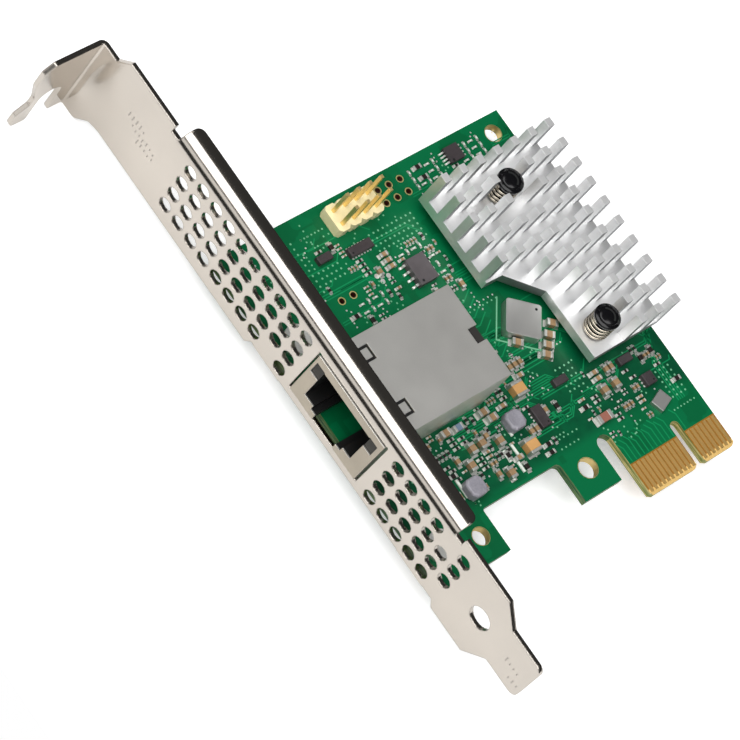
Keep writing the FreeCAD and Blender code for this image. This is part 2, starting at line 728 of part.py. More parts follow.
def make_jack_springs():
    """Eight bent contact wires hanging in the top of the plug cavity."""
    body = new_body("jack_contacts")
    deep = "face - jack_proud + shield_thick + plug_deep"
    under = ((deep, "wire_root_z"), (f"{deep} - wire_bend", "wire_root_z"),
             (f"{deep} - wire_reach", "wire_tip_z"), (f"{deep} - wire_end", "wire_tip_z + wire_curl"))
    wire = under + tuple((x, f"{z} + wire_thick") for x, z in reversed(under))
    middle = "(jack_low_y + jack_high_y) / 2"
    for number in range(8):
        y = f"{middle} + ({number} - 3.5) * spring_pitch"
        add(body, "XZ", f"{y} - spring_wire / 2", f"{y} + spring_wire / 2", [wire])
    return body


def make_magnetics():
    """Sealed block of isolating transformers behind the jack's housing."""
    front = "face - jack_proud + shield_thick + housing_deep"
    back = "face - jack_proud + jack_deep - shield_thick"
    body = new_body("jack_magnetics")
    add(body, "XY", "magnetics_z", "jack_tall - shield_thick",
        [rectangle(front, back, "jack_low_y + shield_thick", "jack_high_y - shield_thick")])
    return body


def make_light_pipes():
    """Two clear bars that bring the lamps' light to the jack's face."""
    body = new_body("jack_light_pipes")
    front = "face - jack_proud + shield_thick"
    add(body, "YZ", f"{front} + lamp_set_back", f"{front} + lamp_deep",
        lamp_outlines("moulding_gap", "0 - moulding_gap"))
    return body


def make_jack_pins():
    """Solder pins under the transformer block."""
    long = "jack_pin_drop + magnetics_z"
    return group("jack_pins", [block(x, y, "0 - jack_pin_drop", "jack_pin", "jack_pin", long)
                               for x, y in jack_pin_places()])


def make_heat_sink():
    """Aluminium heat sink: base with a stepped corner cut away, and a grid of square pins."""
    body = new_body("sink_blank")
    top_z = "sink_base_z + sink_base_thick"
    base = (("sink_left", "sink_top"), ("sink_left", "cut_left_y"), ("cut_mid_x", "cut_mid_y"),
            ("cut_low_x", "cut_low_y"), ("cut_end_x", "sink_bottom"), ("sink_right", "sink_bottom"),
            ("sink_right", "sink_top"))
    add(body, "XY", "sink_base_z", top_z, [base])
    for column, first_row, rows in PIN_RUNS:
        x = f"sink_left + {column} * sink_pitch_x"
        pins = []
        for row in range(first_row, first_row + rows):
            y = f"sink_top - {row} * sink_pitch_y"
            pins.append(rectangle(x, f"{x} + sink_pin_x", f"{y} - sink_pin_y", y))
        add(body, "XY", top_z, "sink_tall_z", pins)
    holes = [prism(16, "push_x", y, "sink_base_z - 1", "sink_base_thick + 2", "push_hole", Rotation())
             for y in ("push_high_y", "push_low_y")]
    return less(body, group("sink_holes", holes), "heat_sink")


def make_push_pins():
    """Two plastic push pins: domed slotted head, shank, and a split barb under the board."""
    pins = []
    for y in ("push_high_y", "push_low_y"):
        side_z = "push_head_low + push_head_side"
        catch_z = "0 - board_thick"
        whole = joined((
            rod("push_x", y, "push_head_low", side_z, "push_head"),
            taper("push_x", y, side_z, "push_head_low + push_head_tall", "push_head", "push_dome"),
            prism(16, "push_x", y, catch_z, "push_head_low + board_thick", "push_shank", Rotation()),
            rod("push_x", y, f"{catch_z} - push_barb_tall / 2", catch_z, "push_barb"),
            taper("push_x", y, "push_tip_z", f"{catch_z} - push_barb_tall / 2", "push_tip", "push_barb"),
        ))
        slit = block("push_x", y, "push_tip_z", "push_slit", "push_head", "push_slit_tall")
        slot = block("push_x", y, f"{side_z} + push_slot_step", "push_head", "push_slit", "push_head_tall")
        pins.append(less(less(whole, slit), slot))
    return group("push_pins", pins)


def wire_face(corners):
    """A quadrilateral face of the spring's wire as two flat triangles."""
    first, second, third, fourth = corners
    return [Part.Face(Part.makePolygon([first, second, third, first])),
            Part.Face(Part.makePolygon([first, third, fourth, first]))]


def make_springs():
    """Coil springs of square wire between the push-pin heads and the base of the heat sink."""
    low = amount("sink_base_z + sink_base_thick + coil_wire / 2")
    high = amount("push_head_low - coil_wire / 2")
    radius = amount("(coil_outer - coil_wire) / 2")
    half = amount("coil_wire / 2")
    bends = round(amount("coil_turns * coil_bends"))
    rings = []
    for bend in range(bends + 1):
        angle = math.radians(360 * amount("coil_turns") * bend / bends)
        rise = (high - low) * bend / bends
        rings.append([Vector((radius + out) * math.cos(angle), (radius + out) * math.sin(angle), rise + up)
                      for out, up in ((-half, -half), (half, -half), (half, half), (-half, half))])
    faces = wire_face(rings[0]) + wire_face(rings[-1])
    for ring, following in zip(rings, rings[1:]):
        for side in range(4):
            turn = (side + 1) % 4
            faces += wire_face([ring[side], ring[turn], following[turn], following[side]])
    coil = Part.makeSolid(Part.makeShell(faces))
    if coil.Volume < 0:
        coil.reverse()
    coils = []
    for y in ("push_high_y", "push_low_y"):
        copy = coil.copy()
        copy.translate(Vector(amount("push_x"), amount(y), low))
        coils.append(copy)
    return coded("push_pin_springs", coils)


def make_header():
    """Pin header: a nicked plastic block and eight square pins through the board."""
    body = new_body("header_body")
    low_x = "header_x - header_pitch / 2"
    edge = []
    for column in range(4):
        for offset, nick in (("0", "0"), ("header_nick", "0 - header_nick"),
                             ("header_pitch - header_nick", "0 - header_nick"), ("header_pitch", "0")):
            if offset != "header_pitch" or column == 3:
                edge.append((f"{low_x} + {column} * header_pitch + {offset}", nick))
    below = [(x, f"header_y - header_pitch / 2 + header_nick + {nick}") for x, nick in edge]
    above = [(x, f"header_y + header_pitch * 3 / 2 - header_nick - ({nick})") for x, nick in reversed(edge)]
    add(body, "XY", "0", "header_tall", [below + above])
    hole_half = "header_pin / 2"
    remove(body, "XY", "0", "header_tall",
           [rectangle(f"{x} - {hole_half}", f"{x} + {hole_half}", f"{y} - {hole_half}", f"{y} + {hole_half}")
            for x, y in header_places()])
    pins = [block(x, y, "0 - header_pin_drop", "header_pin", "header_pin", "header_pin_drop + header_pin_top")
            for x, y in header_places()]
    return [body, group("header_pins", pins)]


def gull_leads(name):
    """Eight gull-wing leads, four down each side of a small chip."""
    thick = amount("lead_thick")
    reach = amount(f"({name}_span - {name}_wide) / 2")
    middle = amount(f"{name}_tall / 2")
    wide = amount(f"{name}_lead")
    profile = [(0, middle), (reach * 0.4, middle), (reach * 0.6, thick), (reach, thick), (reach, 0),
               (reach * 0.6 - thick, 0), (reach * 0.4 - thick, middle - thick), (0, middle - thick)]
    leads = []
    for number in range(4):
        for side in (-1, 1):
            points = [Vector(amount(f"{name}_wide / 2") + along, -wide / 2, up) for along, up in profile]
            lead = Part.Face(Part.makePolygon(points + points[:1])).extrude(Vector(0, wide, 0))
            if side < 0:
                lead.rotate(Vector(), Vector(0, 0, 1), 180)
            y = amount(f"{name}_y + ({number} - 1.5) * {name}_pitch")
            lead.translate(Vector(amount(f"{name}_x"), y, 0))
            leads.append(lead)
    return leads


def make_leaded_chip(label, name):
    """A small moulded chip standing just clear of the board on its leads."""
    package = group(label, [block(f"{name}_x", f"{name}_y", "board_gap", f"{name}_wide", f"{name}_long",
                                  f"{name}_tall - board_gap")])
    return [package, coded(label + "_leads", gull_leads(name))]


def make_can():
    """Square metal can turned on the board, with rounded upright corners."""
    body = new_body("metal_can")
    half = "can_wide / 2"
    add(body, "XY", "0", "can_tall", [rectangle("0 - " + half, half, "0 - " + half, half)])
    round_off(body, "can_round", 2, [(half, half), (half, "0 - " + half), ("0 - " + half, half),
                                     ("0 - " + half, "0 - " + half)])
    body.Placement = Placement(Vector(), Rotation(Vector(0, 0, 1), 1))
    body.setExpression("Placement.Rotation.Angle", linked("can_turn"))
    return place_at(body, "can_x", "can_y", "0")


def make_screws():
    """Two pan-head screws that hold the board to the bracket's ears."""
    screws = []
    for y in ("ear_high_y", "ear_low_y"):
        whole = joined((prism(16, "screw_x", y, "0 - board_thick - sheet",
                              "board_thick + sheet + screw_head_tall", "screw_shank", Rotation()),
                        prism(24, "screw_x", y, "0", "screw_head_tall", "screw_head", Rotation())))
        recess_z = "screw_head_tall - screw_recess_deep"
        cross = joined((block("screw_x", y, recess_z, "screw_recess", "screw_slot", "screw_recess_deep"),
                        block("screw_x", y, recess_z, "screw_slot", "screw_recess", "screw_recess_deep")))
        screws.append(less(whole, cross))
    return group("bracket_screws", screws)


nodes = [make_bracket(), make_board(), make_contacts(), make_shield(), make_housing(), make_jack_springs()]
nodes += [make_magnetics(), make_light_pipes(), make_jack_pins()]
nodes += [make_heat_sink(), make_push_pins(), make_springs()]
nodes.append(group("controller_chip", [block("chip_x", "chip_y", "0",
                                             "chip_wide", "chip_wide", "chip_tall")]))
nodes.append(group("thermal_pad", [block("chip_x", "chip_y", "chip_tall", "pad_wide", "pad_wide",
                                         "sink_base_z - chip_tall")]))
nodes += make_header()
nodes += make_leaded_chip("flash_chip", "flash")
nodes += make_leaded_chip("eeprom_chip", "prom")
nodes += [make_can(), make_screws()]
for family, (places, length, width, height) in SMALL_PARTS.items():
    nodes.append(group(family, [block(str(x), str(y), "0", family + "_long", family + "_wide",
                                      family + "_tall", str(turn)) for x, y, turn in places]))
nodes.append(group("flat_chips", [block(str(x), str(y), "0", str(long), str(wide), "flat_chip_tall")
                                  for x, y, long, wide in FLAT_CHIPS]))
nodes.append(group("fuse", [block("fuse_x", "fuse_y", "0", "fuse_long", "fuse_wide", "fuse_tall")]))
nodes.append(group("crystal", [block("crystal_x", "crystal_y", "0", "crystal_long", "crystal_wide",
                                       "crystal_tall", "crystal_turn")]))

doc.recompute()
for item in doc.Objects:
    assert "Invalid" not in item.State and "Error" not in item.State, f"{item.Label}: {item.State}"
    if hasattr(item, "Shape") and item.isDerivedFrom("Part::Feature"):
        assert not item.Shape.isNull() and item.Shape.isValid(), f"{item.Label} has a bad shape"
for node in nodes:
    node.Shape.exportStep(f"parts/{node.Label}.step")
    print(node.Label, len(node.Shape.Solids), round(node.Shape.Volume, 2))
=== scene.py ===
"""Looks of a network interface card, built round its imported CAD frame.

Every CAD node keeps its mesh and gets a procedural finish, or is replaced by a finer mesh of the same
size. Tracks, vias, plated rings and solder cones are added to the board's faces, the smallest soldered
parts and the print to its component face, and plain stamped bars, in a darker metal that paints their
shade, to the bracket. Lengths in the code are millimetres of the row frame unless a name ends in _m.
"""

import json
import logging
import math
import random
from dataclasses import dataclass, field
from enum import Enum

import bpy
from mathutils import Matrix, Vector

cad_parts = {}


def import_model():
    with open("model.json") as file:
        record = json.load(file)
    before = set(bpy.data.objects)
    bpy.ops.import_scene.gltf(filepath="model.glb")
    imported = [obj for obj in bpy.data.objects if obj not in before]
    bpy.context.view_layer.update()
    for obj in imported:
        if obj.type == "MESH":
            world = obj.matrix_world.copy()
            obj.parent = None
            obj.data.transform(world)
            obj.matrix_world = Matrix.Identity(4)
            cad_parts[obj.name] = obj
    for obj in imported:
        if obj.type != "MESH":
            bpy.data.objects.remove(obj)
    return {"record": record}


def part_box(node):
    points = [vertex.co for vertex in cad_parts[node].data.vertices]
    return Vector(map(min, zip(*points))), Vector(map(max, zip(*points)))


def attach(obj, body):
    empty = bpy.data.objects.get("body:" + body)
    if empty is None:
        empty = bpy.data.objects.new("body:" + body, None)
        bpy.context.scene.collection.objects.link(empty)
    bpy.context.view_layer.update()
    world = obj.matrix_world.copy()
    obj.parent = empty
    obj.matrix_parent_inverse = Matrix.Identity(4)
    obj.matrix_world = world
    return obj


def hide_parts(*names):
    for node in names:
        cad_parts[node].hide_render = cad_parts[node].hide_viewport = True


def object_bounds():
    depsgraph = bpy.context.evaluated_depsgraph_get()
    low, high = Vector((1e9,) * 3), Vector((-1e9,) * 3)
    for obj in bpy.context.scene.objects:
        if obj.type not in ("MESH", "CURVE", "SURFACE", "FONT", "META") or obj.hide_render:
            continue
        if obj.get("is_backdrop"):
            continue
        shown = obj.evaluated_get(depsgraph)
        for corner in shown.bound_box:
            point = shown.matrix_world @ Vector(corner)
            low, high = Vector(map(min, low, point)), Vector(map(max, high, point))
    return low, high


LOG = logging.getLogger("network_card")
MM = 0.001
HAIR = 0.005  # keeps two faces on one level apart
SLACK = 0.01  # how far points on one level may stand apart
MADE = "made_"
Socket = bpy.types.NodeSocket
Triple = tuple[float, float, float]
Colour = Triple
Filling = Socket | float | tuple[float, ...]
EVEN: Triple = (1.0, 1.0, 1.0)
WHITE: Colour = (1.0, 1.0, 1.0)
# Darkest colour of the painted shade in metal hollows.
PAINTED_SHADE_DARK: Colour = (0.02, 0.02, 0.02)
SIDES = (-1, 1)
SHARPEST_MITRE = 0.4  # least cosine that widens a ribbon's bend
QUARTER = math.pi / 2


def tone(red: int, green: int, blue: int) -> Colour:
    """Turn a colour as a screen shows it, from 0 to 255, into linear light."""
    return tuple((channel / 255) ** 2.2 for channel in (red, green, blue))


def round_trip(steps: int, sign: int = 1) -> list[float]:
    """Even angles once round a circle, clockwise where the sign is -1."""
    return [math.tau * step / steps * sign for step in range(steps)]


def polar(angle: float, radius: float, level: float = 0.0) -> Vector:
    """A point at a level, a radius away from the upright axis."""
    return Vector((radius * math.cos(angle), radius * math.sin(angle), level))


def box_mm(node: str) -> tuple[Vector, Vector]:
    """Lowest and highest corner of a CAD node, in millimetres."""
    low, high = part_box(node)
    return low / MM, high / MM


class Board(Enum):
    """Levels of the circuit board's faces, in millimetres."""

    TOP = 0.0
    BOTTOM = -1.57


class Nodes:
    """A node tree and the few nodes that the finishes and the studio share."""

    def __init__(self, tree: bpy.types.NodeTree, coordinates: str) -> None:
        """Take hold of a tree whose patterns follow the named texture coordinates."""
        self.tree = tree
        self.place = self.add("ShaderNodeTexCoord").outputs[coordinates]

    def add(self, kind: str, **settings: object) -> bpy.types.Node:
        """Add a node.

        Args:
            kind: Blender's class name of the node.
            **settings: Attributes to set on it.

        Returns:
            The node.
        """
        node = self.tree.nodes.new(kind)
        for key, value in settings.items():
            setattr(node, key, value)
        return node

    def feed(self, socket: Socket, value: Filling) -> None:
        """Link a socket to another, or set its number or colour.

        Args:
            socket: The input to fill.
            value: An output socket, a number or a colour.
        """
        if isinstance(value, Socket):
            self.tree.links.new(value, socket)
        elif isinstance(value, tuple) and len(value) == 3 and socket.type == "RGBA":
            socket.default_value = (*value, 1.0)
        else:
            socket.default_value = value

    def stretched(self, stretch: Triple) -> Socket:
        """Scale the coordinates unevenly, for brushed or layered patterns.

        Args:
            stretch: Scale along each axis.

        Returns:
            The scaled coordinates.
        """
        mapping = self.add("ShaderNodeMapping")
        self.feed(mapping.inputs["Vector"], self.place)
        self.feed(mapping.inputs["Scale"], stretch)
        return mapping.outputs["Vector"]

    def noise(self, grain_mm: float, detail: float = 3.0, stretch: Triple = EVEN) -> Socket:
        """Cloudy noise with a given grain.

        Args:
            grain_mm: Size of a grain in millimetres.
            detail: Octaves of finer noise.
            stretch: Scale along each axis.

        Returns:
            The noise from 0 to 1.
        """
        node = self.add("ShaderNodeTexNoise")
        self.feed(node.inputs["Vector"], self.stretched(stretch))
        self.feed(node.inputs["Scale"], 1.0 / (grain_mm * MM))
        self.feed(node.inputs["Detail"], detail)
        return node.outputs["Fac"]

    def ramp(self, value: Socket, *stops: tuple[float, Colour]) -> Socket:
        """Fade from one colour to another.

        Args:
            value: The value's socket.
            *stops: Two positions and their colours.

        Returns:
            The colour's socket.
        """
        node = self.add("ShaderNodeValToRGB")
        self.feed(node.inputs["Fac"], value)
        for element, (position, colour) in zip(node.color_ramp.elements, stops):
            element.position = position
            element.color = (*colour, 1.0)
        return node.outputs["Color"]

    def spread(self, value: Socket, low: float, high: float) -> Socket:
        """Spread a value from 0 and 1 to two numbers.

        Args:
            value: The value's socket.
            low: Result at 0.
            high: Result at 1.

        Returns:
            The number's socket.
        """
        node = self.add("ShaderNodeMapRange")
        self.feed(node.inputs["Value"], value)
        self.feed(node.inputs["To Min"], low)
        self.feed(node.inputs["To Max"], high)
        return node.outputs["Result"]

    def blend(self, share: Filling, first: Filling, second: Filling, way: str = "MIX") -> Socket:
        """Mix two colours.

        Args:
            share: How much of the second, as a number or a socket.
            first: The first colour or socket.
            second: The second colour or socket.
            way: Blender's name of how they mix.

        Returns:
            The mixed colour's socket.
        """
        node = self.add("ShaderNodeMix", data_type="RGBA", blend_type=way)
        for identifier, value in (("Factor_Float", share), ("A_Color", first), ("B_Color", second)):
            self.feed(next(entry for entry in node.inputs if entry.identifier == identifier), value)
        return next(result for result in node.outputs if result.identifier == "Result_Color")

    def step(self, value: Socket, low: float, high: float) -> Socket:
        """Rise smoothly from 0 to 1 between two numbers.

        Args:
            value: The value's socket.
            low: Where the rise starts.
            high: Where it ends.

        Returns:
            The share's socket.
        """
        node = self.add("ShaderNodeMapRange", interpolation_type="SMOOTHSTEP")
        self.feed(node.inputs["Value"], value)
        self.feed(node.inputs["From Min"], low)
        self.feed(node.inputs["From Max"], high)
        return node.outputs["Result"]

    def maths(self, operation: str, first: Filling, second: Filling = 0.0) -> Socket:
        """One sum on two values.

        Args:
            operation: Blender's name of the operation.
            first: The first number or socket.
            second: The second number or socket.

        Returns:
            The result's socket.
        """
        node = self.add("ShaderNodeMath", operation=operation)
        self.feed(node.inputs[0], first)
        self.feed(node.inputs[1], second)
        return node.outputs[0]

    def axes(self, source: Socket | None = None) -> list[Socket]:
        """Split a vector into its three numbers.

        Args:
            source: The vector's socket, or the tree's own coordinates if none is given.

        Returns:
            The sockets of x, y and z.
        """
        node = self.add("ShaderNodeSeparateXYZ")
        self.feed(node.inputs[0], self.place if source is None else source)
        return list(node.outputs)


class Shader(Nodes):
    """A node material with a principled surface."""

    def __init__(self, name: str) -> None:
        """Start an empty principled material.

        Args:
            name: Name of the material.
        """
        self.material = bpy.data.materials.new(MADE + name)
        self.material.use_nodes = True
        super().__init__(self.material.node_tree, "Object")
        self.surface = self.tree.nodes["Principled BSDF"]

    def set(self, **inputs: Filling) -> None:
        """Fill inputs of the principled surface, named with underscores for spaces."""
        for key, value in inputs.items():
            self.feed(self.surface.inputs[key.replace("_", " ")], value)

    def relief(self, height: Socket, depth_mm: float, edge_mm: float = 0.0) -> None:
        """Give the surface a fine relief and, if asked, softly rounded edges.

        Args:
            height: The relief's height socket.
            depth_mm: Depth of the relief.
            edge_mm: Radius of the softened edges.
        """
        bump = self.add("ShaderNodeBump")
        self.feed(bump.inputs["Height"], height)
        self.feed(bump.inputs["Strength"], 1.0)
        self.feed(bump.inputs["Distance"], depth_mm * MM)
        if edge_mm:
            edge = self.add("ShaderNodeBevel", samples=6)
            self.feed(edge.inputs["Radius"], edge_mm * MM)
            self.feed(bump.inputs["Normal"], edge.outputs["Normal"])
        self.set(Normal=bump.outputs["Normal"])


@dataclass(frozen=True)
class Metal:
    """A plated or milled metal with a fine grain and faint clouding; where asked, tints by the way its walls
    face paint shade and reflection on them, and painted shade darkens its hollows.

    Attributes:
        name: Name of the material.
        colour: Linear colour at full reflection.
        rough: Roughness of the surface.
        grain: Stretch of the grain along each axis, largest across it.
        cloud: Share by which broad clouding darkens the metal.
        edge_mm: Radius of softened edges.
        depth_mm: Depth of the grain.
        ends: Tint of the walls that look along x; on the jack's shield a painted warm reflection that also
            darkens them.
        painted_flank_shade: Painted shade: a tint that darkens the walls that look along y.
        turned: How far a wall's normal leans where its painted tint begins and where it is full.
        painted_crevice_shade: Share of painted shade by which hollows darken.
        painted_crevice_shade_mm: How far a hollow's walls may stand apart for its painted shade.
        cloud_mm: Size of the broad clouds.
        grain_mm: Size of the fine grain.
    """

    name: str
    colour: Colour
    rough: float = 0.3
    grain: Triple = EVEN
    cloud: float = 0.08
    edge_mm: float = 0.08
    depth_mm: float = 0.002
    ends: Colour = WHITE
    painted_flank_shade: Colour = WHITE
    turned: tuple[float, float] = (0.4, 0.7)
    painted_crevice_shade: float = 0.0
    painted_crevice_shade_mm: float = 3.0
    cloud_mm: float = 9.0
    grain_mm: float = 0.25

    def material(self) -> bpy.types.Material:
        """Build the material.

        Returns:
            The material.
        """
        shader = Shader(self.name)
        broad = shader.noise(self.cloud_mm, detail=2.0)
        fine = shader.noise(self.grain_mm, 4.0, self.grain)
        dark = tuple(channel * (1 - 2 * self.cloud) for channel in self.colour)
        colour = shader.ramp(shader.blend(0.35, broad, fine), (0.3, dark), (0.7, self.colour))
        facing = shader.axes(shader.add("ShaderNodeNewGeometry").outputs["True Normal"])
        # Tints by facing: painted shade on the heat sink's walls along y, a painted warm reflection on the
        # shield's walls along x.
        for axis, tint in zip(facing, (self.ends, self.painted_flank_shade)):
            if tint != WHITE:
                lean = shader.step(shader.maths("ABSOLUTE", axis), *self.turned)
                colour = shader.blend(lean, colour, tint, "MULTIPLY")
        # Ambient occlusion paints shade into the hollows.
        if self.painted_crevice_shade:
            hollow = shader.add("ShaderNodeAmbientOcclusion", samples=6)
            shader.feed(hollow.inputs["Distance"], self.painted_crevice_shade_mm * MM)
            shade = shader.spread(hollow.outputs["AO"], self.painted_crevice_shade, 0.0)
            colour = shader.blend(shade, colour, PAINTED_SHADE_DARK)
        shader.set(
            Base_Color=colour,
            Metallic=1.0,
            Roughness=shader.spread(fine, self.rough * 0.8, self.rough * 1.25),
        )
        shader.relief(fine, self.depth_mm, self.edge_mm)
        return shader.material


@dataclass(frozen=True)
class Plastic:
    """A moulded, fired or cast material with a fine skin.

    Attributes:
        name: Name of the material.
        colour: Linear colour.
        rough: Roughness of the skin.
        grain_mm: Size of the skin's grain.
        vary: Share by which the colour varies.
        edge_mm: Radius of softened edges.
        shine: Strength of the mirror-like share.
        depth_mm: Depth of the skin's grain.
        patch_mm: Size of the broad patches.
    """

    name: str
    colour: Colour
    rough: float = 0.5
    grain_mm: float = 0.15
    vary: float = 0.15
    edge_mm: float = 0.06
    shine: float = 0.5
    depth_mm: float = 0.004
    patch_mm: float = 1.8

    def material(self) -> bpy.types.Material:
        """Build the material.

        Returns:
            The material.
        """
        shader = Shader(self.name)
        skin = shader.noise(self.grain_mm, 4.0)
        broad = shader.noise(self.patch_mm, 2.0)
        dark = tuple(channel * (1 - self.vary) for channel in self.colour)
        light = tuple(min(1.0, channel * (1 + self.vary)) for channel in self.colour)
        shader.set(
            Base_Color=shader.ramp(shader.blend(0.5, skin, broad), (0.3, dark), (0.7, light)),
            Roughness=shader.spread(skin, self.rough * 0.85, self.rough * 1.15),
            Specular_IOR_Level=self.shine,
        )
        shader.relief(skin, self.depth_mm, self.edge_mm)
        return shader.material


@dataclass(frozen=True)
class SolderMask:
    """Green mask over a laminate board: poured copper shows paler, cut edges and bare fingers show laminate.

    Attributes:
        name: Name of the material.
        green: Mask over copper.
        deep: Mask over bare laminate.
        laminate: Colour of the laminate between the contacts.
        rim: Colour of the plated strip below them.
        finger_left_mm: Left end of the bare finger area.
        finger_top_mm: Top of the bare finger area.
        strip_mm: Top of the plated strip.
        dark_band_mask_and_shade: Darker mask in a band up the board, partly the board's own and partly
            painted shade.
        band_mm: Where the band fades in and out up the board.
        pour_mm: Size of a patch of poured copper.
        patch_mm: Size of the patches in that darker band.
        weave_mm: Size of the glass weave.
        ply_mm: Thickness of a ply on the cut edges.
        cut_green: Dark and pale plies of the cut edges.
        cut_tan: Dark and pale plies of the edges by the contacts.
        wall: How far the normal of a cut edge may lean out of level.
        skin_mm: Size of the grain of the mask's skin.
        depth_mm: Depth of that grain.
    """

    name: str = "board_mask"
    green: Colour = tone(2, 102, 62)
    deep: Colour = tone(2, 92, 55)
    laminate: Colour = tone(150, 100, 36)
    rim: Colour = tone(224, 186, 116)
    finger_left_mm: float = -12.2
    finger_top_mm: float = 6.2
    strip_mm: float = 1.1
    dark_band_mask_and_shade: Colour = tone(4, 58, 40)
    band_mm: tuple[float, float, float, float] = (12.5, 15.0, 24.0, 36.0)
    pour_mm: float = 4.2
    patch_mm: float = 3.0
    weave_mm: float = 0.5
    ply_mm: float = 0.22
    cut_green: tuple[Colour, Colour] = (tone(28, 78, 44), tone(104, 128, 78))
    cut_tan: tuple[Colour, Colour] = (tone(112, 124, 62), tone(206, 190, 128))
    wall: float = 0.5
    skin_mm: float = 0.12
    depth_mm: float = 0.006

    def material(self) -> bpy.types.Material:
        """Build the material.

        Returns:
            The material.
        """
        shader = Shader(self.name)
        across, up, _ = shader.axes()
        pour = shader.add("ShaderNodeTexVoronoi", feature="F1", distance="CHEBYCHEV")
        shader.feed(pour.inputs["Vector"], shader.place)
        shader.feed(pour.inputs["Scale"], 1.0 / (self.pour_mm * MM))
        cell = shader.axes(pour.outputs["Color"])[0]
        weave = shader.noise(self.weave_mm, 2.0, (1.0, 6.0, 1.0))
        poured = shader.ramp(cell, (0.25, self.deep), (0.32, self.green))
        woven = shader.blend(shader.spread(weave, 0.0, 0.22), poured, self.deep)
        rise, full, fall, end = (level * MM for level in self.band_mm)
        band = shader.maths("MULTIPLY", shader.step(up, rise, full), shader.step(up, end, fall))
        patchy = shader.spread(shader.noise(self.patch_mm), 0.2, 1.0)
        # The darker band is partly painted shade.
        mask = shader.blend(shader.maths("MULTIPLY", band, patchy), woven, self.dark_band_mask_and_shade)
        low = shader.maths("LESS_THAN", up, self.finger_top_mm * MM)
        right = shader.maths("GREATER_THAN", across, self.finger_left_mm * MM)
        bare = shader.maths("MULTIPLY", low, right)
        facing = shader.axes(shader.add("ShaderNodeNewGeometry").outputs["Normal"])[2]
        cut = shader.maths("LESS_THAN", shader.maths("ABSOLUTE", facing), self.wall)
        plies = shader.noise(self.ply_mm, 2.0, (0.05, 0.05, 1.0))
        green, tan = (shader.ramp(plies, *zip((0.42, 0.62), pair)) for pair in (self.cut_green, self.cut_tan))
        layers = shader.blend(right, green, tan)
        strip = shader.blend(shader.maths("LESS_THAN", up, self.strip_mm * MM), self.laminate, self.rim)
        colour = shader.blend(bare, mask, strip)
        shader.set(
            Base_Color=shader.blend(cut, colour, layers),
            Roughness=shader.spread(weave, 0.3, 0.42),
            Specular_IOR_Level=0.22,
        )
        shader.relief(shader.blend(0.5, weave, shader.noise(self.skin_mm)), self.depth_mm)
        return shader.material


